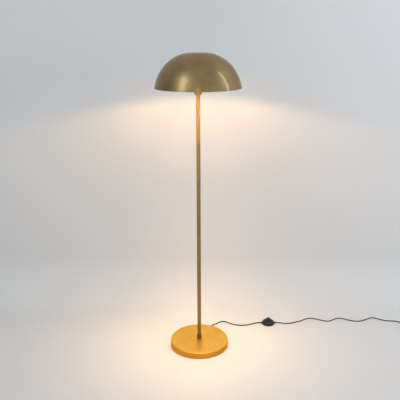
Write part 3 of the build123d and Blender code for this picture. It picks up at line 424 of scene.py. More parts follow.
def sandCastIron():
    # Sand-cast grey iron, oiled: dark grey with a pitted skin of about 1.4 mm grains
    material, tree, shader, place = startFinish("sandCastIron", {"Metallic": 0.7})
    cells = addNode(tree, "ShaderNodeTexVoronoi", inputs={"Vector": place, "Scale": 1 / (1.4 * mm)})
    pits = cells.outputs["Distance"]
    drift = addNoise(tree, place, 25 * mm, 5.0)
    tone = addTones(tree, drift, (0.3, "#3a3a3b"), (0.55, "#4a4a4a"), (0.75, "#54504b"))
    gloss = addRange(tree, pits, 0.0, 0.8, 0.5, 0.75)
    return endFinish(material, shader, tone, addRelief(tree, pits, 0.25 * mm, 0.6), gloss)


def pressedFelt():
    # Needled wool felt: near black, tangled fibres about 0.8 mm apart and a soft sheen
    material, tree, shader, place = startFinish(
        "pressedFelt", {"Roughness": 0.95, "Sheen Weight": 0.4, "Sheen Roughness": 0.5}
    )
    fibres = addNoise(tree, place, 0.8 * mm, 6.0, 0.75)
    tone = addTones(tree, fibres, (0.35, "#17181a"), (0.65, "#34363a"))
    return endFinish(material, shader, tone, addRelief(tree, fibres, 0.4 * mm, 0.8))


def opalDiffuser():
    # Opal polycarbonate lit from inside by warm chips: an even warm glow under a satin skin
    glow = {"Emission Color": linearColour("#ffdfae"), "Emission Strength": 1.6}
    material, tree, shader, place = startFinish("opalDiffuser", {"Roughness": 0.35, **glow})
    drift = addNoise(tree, place, 25 * mm)
    tone = addTones(tree, drift, (0.3, "#efe9dc"), (0.7, "#f6f1e6"))
    skin = addNoise(tree, place, 0.5 * mm)
    return endFinish(material, shader, tone, addRelief(tree, skin, 0.01 * mm))


finishes = {name: brownedBrass(name, look) for name, look in brassLooks.items()}
finishes |= {name: surfaceFinish(name, look, 1.0) for name, look in metalLooks.items()}
finishes |= {name: surfaceFinish(name, look, 0.0) for name, look in skinLooks.items()}
finishes |= {name: splitFinish(name, look) for name, look in splitLooks.items()}
finishes["sandCastIron"] = sandCastIron()
finishes["pressedFelt"] = pressedFelt()
finishes["opalDiffuser"] = opalDiffuser()
print("mixed", len(finishes), "finishes")

nodesOfFinish = {
    "spunBrassDome": ["shade"],
    "turnedBrassCup": ["holder_cup"],
    "turnedBrassCollar": ["pole_foot"],
    "drawnBrassTube": ["pole_lower", "pole_middle", "pole_upper"],
    "brushedBrassDrum": ["base_cover"],
    "sandCastIron": ["base_weight"],
    "pressedFelt": ["base_pad"],
    "zincPlate": [
        "base_washer",
        "base_nut",
        "cord_clamp_screws",
        "pole_nipples",
        "foot_nipple",
        "head_nipple",
        "cup_nut",
        "terminal_screws",
        "switch_screws",
        "switch_terminal_screws",
    ],
    "bareBrass": [
        "pole_inserts",
        "holder_terminals",
        "centre_contact",
        "side_contact",
        "screw_shell",
        "switch_contacts",
    ],
    "nickelPlate": ["bulb_cap", "bulb_contact", "plug_pins"],
    "springSteel": ["switch_spring"],
    "powderCoat": ["shade_spider"],
    "mouldedRubber": ["cord_gland", "switch_feet", "switch_noses", "plug_relief", "plug_body"],
    "pvcSheath": [
        "inner_cord",
        "cord_to_switch",
        "cord_to_coil",
        "cord_coil",
        "cord_to_plug",
        "switch_leads",
    ],
    "sparkErodedAbs": ["cord_clamp", "switch_top", "switch_bottom", "plug_sleeves"],
    "phenolic": ["holder_cap", "holder_skirt", "shade_ring", "switch_button"],
    "glazedPorcelain": ["holder_core"],
    "whitePbt": ["bulb_housing", "switch_core", "switch_rotor", "switch_clamps"],
    "blackGlass": ["bulb_insulator"],
    "holderCores": ["holder_wires"],
    "switchCores": ["switch_cores"],
    "whiteSolderMask": ["led_board"],
    "opalDiffuser": ["bulb_globe"],
}


def dressSolids():
    count = 0
    for finish, names in nodesOfFinish.items():
        for name in names:
            mesh = frame["nodes"][name].data
            mesh.materials.clear()
            mesh.materials.append(finishes[finish])
            count += 1
    print("dressed", count, "solids")


dressSolids()


def startTree(name, sizes):
    # a tree with one named input for each size; returns it with the sockets that give the sizes
    tree = bpy.data.node_groups.new(name, "GeometryNodeTree")
    tree.interface.new_socket("Geometry", in_out="INPUT", socket_type="NodeSocketGeometry")
    tree.interface.new_socket("Geometry", in_out="OUTPUT", socket_type="NodeSocketGeometry")
    kinds = {tuple: "NodeSocketVector", float: "NodeSocketFloat", int: "NodeSocketInt"}
    for size, value in sizes.items():
        tree.interface.new_socket(size, in_out="INPUT", socket_type=kinds[type(value)])
    return tree, addNode(tree, "NodeGroupInput").outputs


def moveGeometry(tree, geometry, **how):
    node = addNode(tree, "GeometryNodeTransform", inputs={"Geometry": geometry, **how})
    return node.outputs["Geometry"]


def joinGeometry(tree, *geometries):
    node = addNode(tree, "GeometryNodeJoinGeometry")
    for geometry in geometries:
        tree.links.new(geometry, node.inputs["Geometry"])
    return node.outputs["Geometry"]


def endTree(tree, geometry, *coats):
    # every tree ends in real faces with their material; a later coat may cover only a part
    real = addNode(tree, "GeometryNodeRealizeInstances", inputs={"Geometry": geometry})
    result = real.outputs["Geometry"]
    for coat in coats:
        coated = addNode(tree, "GeometryNodeSetMaterial", inputs={"Geometry": result, **coat})
        result = coated.outputs["Geometry"]
    output = addNode(tree, "NodeGroupOutput")
    tree.links.new(result, output.inputs["Geometry"])
    return tree


def growPiece(name, tree, sizes, points=()):
    # runs a node tree over the points and keeps the result as a plain mesh at the origin
    seed = bpy.data.meshes.new(name + "Seed")
    seed.from_pydata([tuple(point) for point in points], [], [])
    grower = bpy.data.objects.new(name + "Grower", seed)
    bpy.context.scene.collection.objects.link(grower)
    modifier = grower.modifiers.new("grow", "NODES")
    modifier.node_group = tree
    for socket in tree.interface.items_tree:
        if socket.name in sizes:
            modifier[socket.identifier] = sizes[socket.name]
    depsgraph = bpy.context.evaluated_depsgraph_get()
    grown = bpy.data.meshes.new_from_object(grower.evaluated_get(depsgraph))
    grown.name = name
    grower.modifiers.remove(modifier)
    bpy.data.objects.remove(grower)
    piece = bpy.data.objects.new(name, grown)
    bpy.context.scene.collection.objects.link(piece)
    print("grew", name, len(grown.polygons), "faces")
    return piece


# the dome is one turned sheet: a flat crown, a crown arc and a side arc, drawn down the outside,
# round the rim and back up the inside, with a rolled bead along the rim
domeSizes = {
    "Rim Radius": 200.0 * mm,
    "Rim Height": 1313.0 * mm,
    "Crown Flat": 26.0 * mm,
    "Crown Radius": 169.5 * mm,
    "Crown Bend": math.radians(50.0),
    "Rim Slope": math.radians(80.7),
    "Wall": 1.0 * mm,
    "Bead Radius": 1.6 * mm,
    "Around": 180,
    "Down": 72,
}
flatRows = 0.1  # the share of the rows that lie on the crown's flat
sharpAngle = math.radians(40)  # edges bent more than this stay sharp

# the rule that gives each grid point its radius and height, one step a line
domeRule = [
    ("sinBend", "SINE", "Crown Bend", 0),
    ("cosBend", "COSINE", "Crown Bend", 0),
    ("sinRim", "SINE", "Rim Slope", 0),
    ("cosRim", "COSINE", "Rim Slope", 0),
    ("arcReach", "MULTIPLY", "Crown Radius", "sinBend"),
    ("crownReach", "ADD", "Crown Flat", "arcReach"),
    ("sideReach", "SUBTRACT", "Rim Radius", "crownReach"),
    ("sineSpan", "SUBTRACT", "sinRim", "sinBend"),
    ("sideRadius", "DIVIDE", "sideReach", "sineSpan"),  # the side arc ends on the rim
    ("cosineSpan", "SUBTRACT", "cosBend", "cosRim"),
    ("sideDrop", "MULTIPLY", "sideRadius", "cosineSpan"),
    ("crownShare", "SUBTRACT", 1, "cosBend"),
    ("crownDrop", "MULTIPLY", "Crown Radius", "crownShare"),
    ("wholeDrop", "ADD", "sideDrop", "crownDrop"),
    ("top", "ADD", "Rim Height", "wholeDrop"),
    ("rows", "MULTIPLY", "Down", 2),
    ("allRows", "ADD", "rows", 2),  # down the outside and back up the inside
    ("columns", "ADD", "Around", 1),
    ("acrossGrid", "ADD", "gridX", 0.5),
    ("turn", "MULTIPLY", "acrossGrid", 2 * math.pi),
    ("alongGrid", "ADD", "gridY", 0.5),
    ("lastRow", "ADD", "rows", 1),
    ("row", "MULTIPLY", "alongGrid", "lastRow"),
    ("middle", "ADD", "Down", 0.5),
    ("inside", "GREATER_THAN", "row", "middle"),
    ("fromMiddle", "SUBTRACT", "row", "middle"),
    ("stepsAway", "ABSOLUTE", "fromMiddle", 0),
    ("fromRim", "SUBTRACT", "stepsAway", 0.5),
    ("rimShare", "DIVIDE", "fromRim", "Down"),
    ("share", "SUBTRACT", 1, "rimShare"),  # 0 at the middle of the crown, 1 at the rim
    ("flatPart", "DIVIDE", "share", flatRows),
    ("flatShare", "MINIMUM", "flatPart", 1),
    ("bendPart", "SUBTRACT", "share", flatRows),
    ("bendAbove", "MAXIMUM", "bendPart", 0),
    ("bendShare", "DIVIDE", "bendAbove", 1 - flatRows),
    ("slope", "MULTIPLY", "bendShare", "Rim Slope"),
    ("onCrown", "MINIMUM", "slope", "Crown Bend"),
    ("onSide", "MAXIMUM", "slope", "Crown Bend"),
    ("sinCrown", "SINE", "onCrown", 0),
    ("cosCrown", "COSINE", "onCrown", 0),
    ("sinSide", "SINE", "onSide", 0),
    ("cosSide", "COSINE", "onSide", 0),
    ("sinSlope", "SINE", "slope", 0),
    ("cosSlope", "COSINE", "slope", 0),
    ("inset", "MULTIPLY", "inside", "Wall"),
    ("flatOut", "MULTIPLY", "flatShare", "Crown Flat"),
    ("crownOut", "MULTIPLY", "Crown Radius", "sinCrown"),
    ("sidePart", "SUBTRACT", "sinSide", "sinBend"),
    ("sideOut", "MULTIPLY", "sideRadius", "sidePart"),
    ("insetOut", "MULTIPLY", "inset", "sinSlope"),
    ("radiusA", "ADD", "flatOut", "crownOut"),
    ("radiusB", "ADD", "radiusA", "sideOut"),
    ("radiusC", "SUBTRACT", "radiusB", "insetOut"),
    ("radius", "MAXIMUM", "radiusC", 0),
    ("crownFallPart", "SUBTRACT", 1, "cosCrown"),
    ("crownFall", "MULTIPLY", "Crown Radius", "crownFallPart"),
    ("sideFallPart", "SUBTRACT", "cosBend", "cosSide"),
    ("sideFall", "MULTIPLY", "sideRadius", "sideFallPart"),
    ("insetFall", "MULTIPLY", "inset", "cosSlope"),
    ("heightA", "SUBTRACT", "top", "crownFall"),
    ("heightB", "SUBTRACT", "heightA", "sideFall"),
    ("height", "SUBTRACT", "heightB", "insetFall"),
    ("cosTurn", "COSINE", "turn", 0),
    ("sinTurn", "SINE", "turn", 0),
    ("x", "MULTIPLY", "radius", "cosTurn"),
    ("y", "MULTIPLY", "radius", "sinTurn"),
    # the bead touches the outside and the rim's edge from within
    ("beadIn", "ADD", "sinRim", "cosRim"),
    ("beadUp", "SUBTRACT", "sinRim", "cosRim"),
    ("beadInset", "MULTIPLY", "Bead Radius", "beadIn"),
    ("beadRise", "MULTIPLY", "Bead Radius", "beadUp"),
    ("beadRadius", "SUBTRACT", "Rim Radius", "beadInset"),
    ("beadHeight", "ADD", "Rim Height", "beadRise"),
]


def domeTree():
    tree, size = startTree("domeOfRevolution", domeSizes)
    position = addNode(tree, "GeometryNodeInputPosition")
    spot = addNode(tree, "ShaderNodeSeparateXYZ", inputs={0: position.outputs["Position"]})
    value = {name: size[name] for name in domeSizes}
    value["gridX"], value["gridY"] = spot.outputs["X"], spot.outputs["Y"]
    for name, operation, first, second in domeRule:
        first, second = value.get(first, first), value.get(second, second)
        value[name] = addMath(tree, operation, first, second)

    grid = addNode(
        tree,
        "GeometryNodeMeshGrid",
        inputs={
            "Size X": 1.0,
            "Size Y": 1.0,
            "Vertices X": value["columns"],
            "Vertices Y": value["allRows"],
        },
    )
    place = addVector(tree, X=value["x"], Y=value["y"], Z=value["height"])
    marked = addNode(
        tree,
        "GeometryNodeStoreNamedAttribute",
        {"data_type": "FLOAT", "domain": "POINT"},
        {"Geometry": grid.outputs["Mesh"], "Name": "inside", "Value": value["inside"]},
    )
    shaped = addNode(
        tree,
        "GeometryNodeSetPosition",
        inputs={"Geometry": marked.outputs["Geometry"], "Position": place},
    )
    flipped = addNode(tree, "GeometryNodeFlipFaces", inputs={"Mesh": shaped.outputs["Geometry"]})
    closed = addNode(
        tree,
        "GeometryNodeMergeByDistance",
        inputs={"Geometry": flipped.outputs["Mesh"], "Distance": 0.01 * mm},
    )
    beadPath = addNode(
        tree,
        "GeometryNodeCurvePrimitiveCircle",
        inputs={"Resolution": size["Around"], "Radius": value["beadRadius"]},
    )
    beadSection = addNode(
        tree,
        "GeometryNodeCurvePrimitiveCircle",
        inputs={"Resolution": 12, "Radius": size["Bead Radius"]},
    )
    bead = addNode(
        tree,
        "GeometryNodeCurveToMesh",
        inputs={"Curve": beadPath.outputs["Curve"], "Profile Curve": beadSection.outputs["Curve"]},
    )
    beadLift = addVector(tree, Z=value["beadHeight"])
    beadPlaced = moveGeometry(tree, bead.outputs["Mesh"], Translation=beadLift)
    joined = joinGeometry(tree, beadPlaced, closed.outputs["Geometry"])

    # smooth, but for the rim's own edges
    edgeAngle = addNode(tree, "GeometryNodeInputMeshEdgeAngle")
    isGentle = addNode(
        tree,
        "FunctionNodeCompare",
        {"data_type": "FLOAT", "operation": "LESS_THAN"},
        {0: edgeAngle.outputs["Unsigned Angle"], 1: sharpAngle},
    )
    smooth = addNode(
        tree,
        "GeometryNodeSetShadeSmooth",
        {"domain": "EDGE"},
        {"Geometry": joined, "Shade Smooth": isGentle.outputs["Result"]},
    )
    insideMark = addNode(
        tree, "GeometryNodeInputNamedAttribute", {"data_type": "FLOAT"}, {"Name": "inside"}
    )
    # only the faces whose corners are all on the inside
    isInside = addNode(
        tree,
        "FunctionNodeCompare",
        {"data_type": "FLOAT", "operation": "GREATER_THAN"},
        {0: insideMark.outputs["Attribute"], 1: 0.75},
    )
    return endTree(
        tree,
        smooth.outputs["Geometry"],
        {"Material": finishes["spunBrassDome"]},
        {"Selection": isInside.outputs["Result"], "Material": finishes["sprayedWhite"]},
    )


def makeDome():
    dome = growPiece("domeShade", domeTree(), domeSizes)
    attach(dome, "lamp")
    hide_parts("shade")
    return dome


domeShade = makeDome()


# cross-recessed screws, one tree for all: a tapered pan head with its cross, on a plain shank
screwSets = {
    "switchScrews": {
        "node": "switch_screws",
        "slot": "zinc_steel",
        "places": [
            (*[v * mm for v in onCircle(switchMiddle, 25, degrees)], 2.2 * mm)
            for degrees in (90, 210, 330)
        ],
        "sizes": {
            "Head Radius": 2.9 * mm,
            "Head Height": 1.0 * mm,
            "Shank Radius": 1.5 * mm,
            "Shank Length": 8.5 * mm,
            "Cross Length": 3.4 * mm,
            "Cross Width": 0.7 * mm,
            "Aim": (math.pi, 0.0, 0.4),
        },
    },
    "clampScrews": {
        "node": "cord_clamp_screws",
        "slot": "zinc_steel",
        # one on each side of the lead, 8 mm off the way out and 80 mm along it
        "places": [
            (
                *[
                    v * mm
                    for v in onCircle(onCircle((0, 0), 80, exitAngle), side * 8, exitAngle + 90)
                ],
                4.7 * mm,
            )
            for side in (-1, 1)
        ],
        "sizes": {
            "Head Radius": 3.1 * mm,
            "Head Height": 1.8 * mm,
            "Shank Radius": 1.7 * mm,
            "Shank Length": 14.0 * mm,
            "Cross Length": 3.8 * mm,
            "Cross Width": 0.8 * mm,
            "Aim": (math.pi, 0.0, 1.1),
        },
    },
    "terminalScrews": {
        "node": "terminal_screws",
        "slot": "zinc_steel",
        "places": [(-8.0 * mm, -2.5 * mm, 1303.0 * mm), (8.0 * mm, -2.5 * mm, 1303.0 * mm)],
        "sizes": {
            "Head Radius": 2.0 * mm,
            "Head Height": 1.4 * mm,
            "Shank Radius": 1.2 * mm,
            "Shank Length": 4.0 * mm,
            "Cross Length": 2.6 * mm,
            "Cross Width": 0.6 * mm,
            "Aim": (math.pi / 2, 0.0, 0.0),
        },
    },
}


headTaper = 0.8  # the head's top is this much as wide as its bottom
crossRise = 0.9  # the middle of the cross, as a share of the head's height


def screwTree():
    tree, size = startTree("crossRecessedScrews", screwSets["switchScrews"]["sizes"])
    head = addNode(
        tree,
        "GeometryNodeMeshCone",
        inputs={
            "Vertices": 32,
            "Radius Top": addMath(tree, "MULTIPLY", size["Head Radius"], headTaper),
            "Radius Bottom": size["Head Radius"],
            "Depth": size["Head Height"],
        },
    )
    barSize = addVector(tree, X=size["Cross Length"], Y=size["Cross Width"], Z=size["Head Height"])
    bar = addNode(tree, "GeometryNodeMeshCube", inputs={"Size": barSize})
    lift = addVector(tree, Z=addMath(tree, "MULTIPLY", size["Head Height"], crossRise))
    cut = addNode(
        tree,
        "GeometryNodeMeshBoolean",
        {"operation": "DIFFERENCE"},
        {"Mesh 1": head.outputs["Mesh"]},
    )
    for turn in (0.0, math.pi / 2):
        turned = moveGeometry(
            tree, bar.outputs["Mesh"], Translation=lift, Rotation=(0.0, 0.0, turn)
        )
        tree.links.new(turned, cut.inputs["Mesh 2"])
    shank = addNode(
        tree,
        "GeometryNodeMeshCylinder",
        inputs={"Vertices": 24, "Radius": size["Shank Radius"], "Depth": size["Shank Length"]},
    )
    sink = addVector(tree, Z=addMath(tree, "MULTIPLY", size["Shank Length"], -0.5))
    sunk = moveGeometry(tree, shank.outputs["Mesh"], Translation=sink)
    points = addNode(tree, "GeometryNodeMeshToPoints", inputs={"Mesh": size["Geometry"]})
    screws = addNode(
        tree,
        "GeometryNodeInstanceOnPoints",
        inputs={
            "Points": points.outputs["Points"],
            "Instance": joinGeometry(tree, cut.outputs["Mesh"], sunk),
            "Rotation": size["Aim"],
        },
    )
    return endTree(tree, screws.outputs["Instances"], {"Material": finishes["zincPlate"]})


def makeScrews():
    tree = screwTree()
    for name, screwSet in screwSets.items():
        screws = growPiece(name, tree, screwSet["sizes"], screwSet["places"])
        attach(screws, "lamp")
        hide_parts(screwSet["node"])


makeScrews()


# finger ridges on the plug's two drawn-in sides, set along the curve of each side
ridgeSizes = {
    "Place": (1226.0 * mm, 84.0 * mm, 6.85 * mm),  # middle of the plug's front face
    "Start": (16.34 * mm, 14.0 * mm, 0.0),  # along one side, from the place
    "Middle": (14.05 * mm, 22.0 * mm, 0.0),
    "End": (11.54 * mm, 30.0 * mm, 0.0),
    "Ridge Radius": 0.55 * mm,
    "Ridge Length": 8.0 * mm,
    "Count": 8,
}


def ridgeTree():
    tree, size = startTree("fingerRidges", ridgeSizes)
    side = addNode(
        tree,
        "GeometryNodeCurveArc",
        {"mode": "POINTS"},
        {"Start": size["Start"], "Middle": size["Middle"], "End": size["End"]},
    )
    otherSide = moveGeometry(tree, side.outputs["Curve"], Scale=(-1.0, 1.0, 1.0))
    sides = joinGeometry(tree, side.outputs["Curve"], otherSide)
    placed = moveGeometry(tree, sides, Translation=size["Place"])
    spots = addNode(
        tree,
        "GeometryNodeCurveToPoints",
        {"mode": "COUNT"},
        {"Curve": placed, "Count": size["Count"]},
    )
    ridge = addNode(
        tree,
        "GeometryNodeMeshCylinder",
        inputs={"Vertices": 10, "Radius": size["Ridge Radius"], "Depth": size["Ridge Length"]},
    )
    ridges = addNode(
        tree,
        "GeometryNodeInstanceOnPoints",
        inputs={"Points": spots.outputs["Points"], "Instance": ridge.outputs["Mesh"]},
    )
    return endTree(tree, ridges.outputs["Instances"], {"Material": finishes["mouldedRubber"]})


def makeRidges():
    ridges = growPiece("plugRidges", ridgeTree(), ridgeSizes)
    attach(ridges, "lamp")
    return ridges


plugRidges = makeRidges()


# the switch's return spring, which shortens as the button goes down
springSizes = {
    "Place": (*[v * mm for v in switchMiddle], 8.45 * mm),  # middle of the lowest turn
    "Coil Radius": 7.8 * mm,
    "Wire Radius": 0.45 * mm,
    "Height": 22.1 * mm,
    "Turns": 8.0,
    "Steps": 288,
}


def springTree():
    tree, size = startTree("coilSpring", springSizes)
    coil = addNode(
        tree,
        "GeometryNodeCurveSpiral",
        inputs={
            "Resolution": size["Steps"],
            "Rotations": size["Turns"],
            "Start Radius": size["Coil Radius"],
            "End Radius": size["Coil Radius"],
            "Height": size["Height"],
        },
    )
    placed = moveGeometry(tree, coil.outputs["Curve"], Translation=size["Place"])
    wire = addNode(
        tree,
        "GeometryNodeCurvePrimitiveCircle",
        inputs={"Resolution": 10, "Radius": size["Wire Radius"]},
    )
    spring = addNode(
        tree,
        "GeometryNodeCurveToMesh",
        inputs={
            "Curve": placed,
            "Profile Curve": wire.outputs["Curve"],
            "Fill Caps": True,
        },
    )
    smooth = addNode(
        tree, "GeometryNodeSetShadeSmooth", inputs={"Geometry": spring.outputs["Mesh"]}
    )
    return endTree(tree, smooth.outputs["Geometry"], {"Material": finishes["springSteel"]})


def makeSpring():
    spring = growPiece("returnSpring", springTree(), springSizes)
    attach(spring, "lamp")
    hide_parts("switch_spring")
    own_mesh(spring)


makeSpring()


# the lead: two smooth curves, shaped by the same points as the solids, in millimetres
leadSizes = {
    "diameter": 5.5,
    "exitHeight": 8.5,
    "glandTip": 169.0,  # from the pole's middle
    "glandStraight": 15.5,
    "noseReach": 43.0,  # from the switch's middle to the end of each nose
    "noseHeight": 7.0,
    "plugHeight": 6.85,
    "coilMiddle": (1165.5, 167.0),
    "coilOuter": 36.0,
    "coilPitch": 6.0,
    "halvesIn": 4,  # half turns on the floor, before it climbs
    "halvesInAll": 8,
    "pointsEachHalf": 8,
    "outset": 1.012,  # a turn's control points stand a little outside the line that they shape
}
onFloor = leadSizes["diameter"] / 2
onTop = onFloor + leadSizes["coilPitch"]  # in the coil's upper layer
atNose = leadSizes["noseHeight"]
atPlug = leadSizes["plugHeight"]
switchX, switchY = switchMiddle


def glandPoint(distance):
    return (*onCircle((0, 0), distance, exitAngle), leadSizes["exitHeight"])


pathToSwitch = [
    glandPoint(leadSizes["glandTip"]),
    glandPoint(leadSizes["glandTip"] + leadSizes["glandStraight"]),
    (79.5, 189.0, 4.9),
    (100.0, 207.6, onFloor),
    (121.0, 227.8, onFloor),
    (149.0, 227.0, onFloor),
    (169.5, 204.5, onFloor),
    (199.0, 188.6, onFloor),
    (228.0, 182.6, onFloor),
    (258.0, 184.6, onFloor),
    (285.0, 195.0, onFloor),
    (305.5, 204.2, 3.6),
    (322.0, 206.0, atNose),
    (switchX - leadSizes["noseReach"], switchY, atNose),
]
pathToCoil = [
    (switchX + leadSizes["noseReach"], switchY, atNose),
    (443.0, 206.0, atNose),
    (466.0, 202.6, onFloor),
    (503.0, 201.4, onFloor),
    (533.0, 214.2, onFloor),
    (569.0, 229.0, onFloor),
    (603.0, 255.6, onFloor),
    (634.0, 262.0, onFloor),
    (664.0, 247.5, onFloor),
    (698.0, 228.0, onFloor),
    (726.0, 223.0, onFloor),
    (752.0, 241.0, onFloor),
    (780.0, 261.0, onFloor),
    (808.0, 256.0, onFloor),
    (848.0, 229.5, onFloor),
    (878.0, 223.0, onFloor),
    (908.0, 224.0, onFloor),
    (946.0, 248.5, onFloor),
    (969.0, 262.0, onFloor),
    (990.0, 261.0, onFloor),
    (1012.0, 245.0, onFloor),
    (1045.0, 225.5, onFloor),
    (1074.0, 224.4, onFloor),
    (1098.0, 221.5, onFloor),
    (1120.0, 208.0, onFloor),
    (1140.0, 203.0, onFloor),
    (1160.0, 203.0, onFloor),
]
pathToPlug = [
    (1190.0, 203.0, onTop),
    (1209.0, 197.0, 5.6),
    (1221.0, 183.0, 4.8),
    (1226.0, 166.0, atPlug),
    (1226.0, 150.0, atPlug),
]


def coilTurns(sizes):
    # wound clockwise from the far side: in on the floor, up a layer in half a turn, then out on top
    pitch, outer, halvesIn = sizes["coilPitch"], sizes["coilOuter"], sizes["halvesIn"]
    inner = outer - halvesIn * pitch / 2
    points = []
    for step in range(sizes["halvesInAll"] * sizes["pointsEachHalf"]):
        turned = (step + 0.5) / sizes["pointsEachHalf"]  # half turns so far
        if turned < halvesIn:
            radius, height = outer - turned * pitch / 2, onFloor
        elif turned < halvesIn + 1:
            share = turned - halvesIn
            eased = share - math.sin(2 * math.pi * share) / (2 * math.pi)
            radius, height = inner, onFloor + pitch * eased
        else:
            radius, height = inner + (turned - halvesIn - 1) * pitch / 2, onTop
        spot = onCircle(sizes["coilMiddle"], radius * sizes["outset"], 90 - 180 * turned)
        points.append((*spot, height))
    return points


def smoothCurve(name, points, diameter):
    data = bpy.data.curves.new(name, "CURVE")
    data.dimensions = "3D"
    spline = data.splines.new("NURBS")
    spline.points.add(len(points) - 1)
    for point, place in zip(spline.points, points):
        point.co = (*[value * mm for value in place], 1)
    spline.order_u = 3
    spline.use_endpoint_u = True
    spline.resolution_u = 8
    data.bevel_depth = diameter / 2
    data.bevel_resolution = 5
    data.use_fill_caps = True
    data.materials.append(finishes["pvcSheath"])
    curve = bpy.data.objects.new(name, data)
    bpy.context.scene.collection.objects.link(curve)
    return curve


def makeLead():
    diameter = leadSizes["diameter"] * mm
    nodes = frame["nodes"]
    first = smoothCurve("leadToSwitch", pathToSwitch, diameter)
    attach(first, "lamp")
    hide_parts("cord_to_switch")
    onSwitch = [nodes[n] for n in nodes if n.startswith("switch_")]
    onSwitch += [bpy.data.objects[n] for n in ("switchScrews", "returnSpring")]  # made above
    second = smoothCurve("leadToPlug", pathToCoil + coilTurns(leadSizes) + pathToPlug, diameter)
    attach(second, "lamp")
    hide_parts("cord_to_coil", "cord_coil", "cord_to_plug")
    print("lead laid")


makeLead()


# floor, backdrop and room light: a pale studio
studio = {
    "floorColour": "#dddcdb",
    "front": -9.0,  # metres; the sheet starts here and passes under the lamp
    "wallY": 0.58,  # behind the pole
    "wallTop": 6.0,
    "halfWidth": 7.0,
    "sweepRadius": 0.25,
    "sweepSteps": 16,
    "worldColour": "#b9c2c5",
    "worldStrength": 1.05,
    "leftShade": 0.55,  # the side at the left is this much as bright as the rest
}


def makeStudio():
    # floor and backdrop are one sheet with a wide bend between them
    bend, wall = studio["sweepRadius"], studio["wallY"]
    steps, wide = studio["sweepSteps"], studio["halfWidth"]
    profile = [(studio["front"], 0.0), (wall - bend, 0.0)]
    for step in range(1, steps + 1):
        angle = math.pi / 2 * step / steps
        profile.append((wall - bend + bend * math.sin(angle), bend - bend * math.cos(angle)))
    profile.append((wall, studio["wallTop"]))
    vertices, faces = [], []
    for y, z in profile:
        vertices += [(-wide, y, z), (wide, y, z)]
    for row in range(len(profile) - 1):
        a = 2 * row
        faces.append((a, a + 1, a + 3, a + 2))
    mesh = bpy.data.meshes.new("backdrop")
    mesh.from_pydata(vertices, [], faces)
    for polygon in mesh.polygons:
        polygon.use_smooth = True
    backdrop = bpy.data.objects.new("backdrop", mesh)
    bpy.context.scene.collection.objects.link(backdrop)
    material, tree, shader, _ = startFinish(
        "paintedBackdrop",
        {"Roughness": 0.85, "Base Color": linearColour(studio["floorColour"])},
    )
    # the sheet has no back, so the lamp is also seen from behind it and from below
    facing = addNode(tree, "ShaderNodeNewGeometry")
    clear = addNode(tree, "ShaderNodeBsdfTransparent")
    oneSided = addNode(
        tree,
        "ShaderNodeMixShader",
        inputs={
            0: facing.outputs["Backfacing"],
            1: shader.outputs["BSDF"],
            2: clear.outputs["BSDF"],
        },
    )
    tree.links.new(oneSided.outputs["Shader"], tree.nodes["Material Output"].inputs["Surface"])
    mesh.materials.append(material)

    world = bpy.data.worlds.new("studioLight")
    world.use_nodes = True
    background = world.node_tree.nodes["Background"]
    background.inputs["Color"].default_value = linearColour(studio["worldColour"])
    direction = addNode(world.node_tree, "ShaderNodeTexCoord").outputs["Generated"]
    sides = addNode(world.node_tree, "ShaderNodeSeparateXYZ", inputs={0: direction})
    strength = addNode(
        world.node_tree,
        "ShaderNodeMapRange",
        {"interpolation_type": "SMOOTHSTEP"},
        {
            "Value": sides.outputs["X"],
            "From Min": -1.0,
            "From Max": 0.2,
            "To Min": studio["worldStrength"] * studio["leftShade"],
            "To Max": studio["worldStrength"],
        },
    )
    world.node_tree.links.new(strength.outputs["Result"], background.inputs["Strength"])
    bpy.context.scene.world = world
    print("studio built")


def addLight(name, kind, place, target, energy, colour, **settings):
    data = bpy.data.lights.new(name, kind)
    data.energy = energy
    data.color = linearColour(colour)[:3]
    for key, value in settings.items():
        setattr(data, key, value)
    light = bpy.data.objects.new(name, data)
    light.location = place
    light.rotation_euler = (Vector(target) - Vector(place)).to_track_quat("-Z", "Y").to_euler()
    light.visible_camera = False
    bpy.context.scene.collection.objects.link(light)
    return light


def spareTheHead():
    # the lamps at the bulb stand inside the dome and would bleach its white paint, so they leave
    # out the dome and the pieces round the bulb; all the other lights still reach these
    spared = bpy.data.collections.new("sparedByTheBulb")
    nodes = frame["nodes"]
    names = ("shade_spider", "shade_ring", "holder_skirt", "bulb_globe", "bulb_housing")
    for piece in [domeShade, *[nodes[name] for name in names]]:
        spared.objects.link(piece)
    for member in spared.collection_objects:
        member.light_linking.link_state = "EXCLUDE"
    for light in bpy.data.objects:
        if light.name.startswith(("bulbSide", "bulbLight")):
            light.light_linking.receiver_collection = spared


# the studio's own lights, in metres and watts
softboxes = {
    # like a window, at the left front
    "softboxLeft": {
        "place": (-1.72, -1.84, 2.6), "aim": (0, 0, 1.38),
        "power": 17, "colour": "#eaf0ff", "width": 0.8, "length": 2.1, "inMetal": True,
    },
    # a slim one at the right
    "softboxRight": {
        "place": (2.5, -0.36, 2.6), "aim": (0, 0, 1.38),
        "power": 10, "colour": "#eef3ff", "width": 0.34, "length": 2.1, "inMetal": True,
    },
    # a small warm card high in front, for the glint above the rim
    "warmCard": {
        "place": (0.0, -3.0, 2.2), "aim": (0, 0, 1.35),
        "power": 2.2, "colour": "#ffb868", "width": 0.22, "length": 0.5, "inMetal": True,
    },
    # a broad sheet above the right side that fills the floor and backdrop, kept out of the metal
    "overhead": {
        "place": (2.4, -1.5, 2.5), "aim": (1.3, 0.6, 2.0),
        "power": 34, "colour": "#f3f6ff", "width": 2.5, "length": 2.5, "inMetal": False,
    },
}

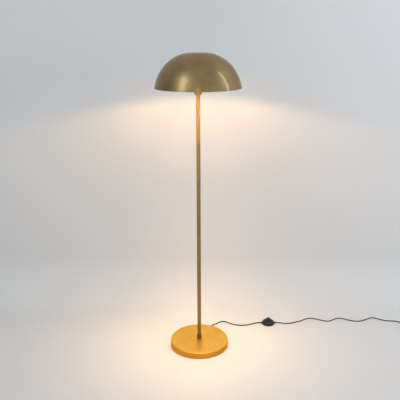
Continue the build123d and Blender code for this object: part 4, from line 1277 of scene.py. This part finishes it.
# the lamp's own warm light: places round the bulb, each power for one of them
lampLight = {
    "colour": "#ffd094",
    "ring": 0.04,  # just outside the bulb
    "height": 1.362,
    "softness": 0.012,
    "power": 1.85,  # cut off by the dome's rim
    "sidePower": 4.4,  # the bulb is brightest sideways, where its housing hides nothing
    "sideSpread": math.radians(100),
    "bouncePower": 0.6,  # what the dome's white inside throws on the floor and the upper pole
    "bounceRing": 0.1,
    "bounceSize": 0.1,
    "bounceHeight": 1.36,
    "bounceSpread": math.radians(62),
    "glowPower": 0.5,  # and what of it reaches the cup under the dome
    "glowHeight": 1.322,
    "glowSoftness": 0.03,
}


def makeLights():
    for name, box in softboxes.items():
        light = addLight(
            name, "AREA", box["place"], box["aim"], box["power"], box["colour"],
            shape="RECTANGLE", size=box["width"], size_y=box["length"],
        )
        light.visible_glossy = box["inMetal"]  # whether the brass reflects it
    lamp = lampLight
    for index in range(6):
        degrees = 30 + 60 * index
        place = (*onCircle((0, 0), lamp["ring"], degrees), lamp["height"])
        outward = (*onCircle((0, 0), 1.0, degrees), -0.2)
        addLight(
            f"bulbSide{index}", "SPOT", place, Vector(place) + Vector(outward),
            lamp["sidePower"], lamp["colour"], shadow_soft_size=lamp["softness"],
            spot_size=lamp["sideSpread"], spot_blend=1.0,
        )
    for index in range(4):
        degrees = 45 + 90 * index
        place = (*onCircle((0, 0), lamp["ring"], degrees), lamp["height"])
        addLight(
            f"bulbLight{index}", "POINT", place, (0, 0, 0),
            lamp["power"], lamp["colour"], shadow_soft_size=lamp["softness"],
        )
        spot = onCircle((0, 0), lamp["bounceRing"], degrees)
        addLight(
            f"domeBounce{index}", "AREA", (*spot, lamp["bounceHeight"]), (0, 0, 1.0),
            lamp["bouncePower"], lamp["colour"],
            shape="DISK", size=lamp["bounceSize"], spread=lamp["bounceSpread"],
        )
        addLight(
            f"rimGlow{index}", "POINT", (*spot, lamp["glowHeight"]), (0, 0, 0),
            lamp["glowPower"], lamp["colour"], shadow_soft_size=lamp["glowSoftness"],
        )
    spareTheHead()
    print("studio lit")


makeStudio()
makeLights()
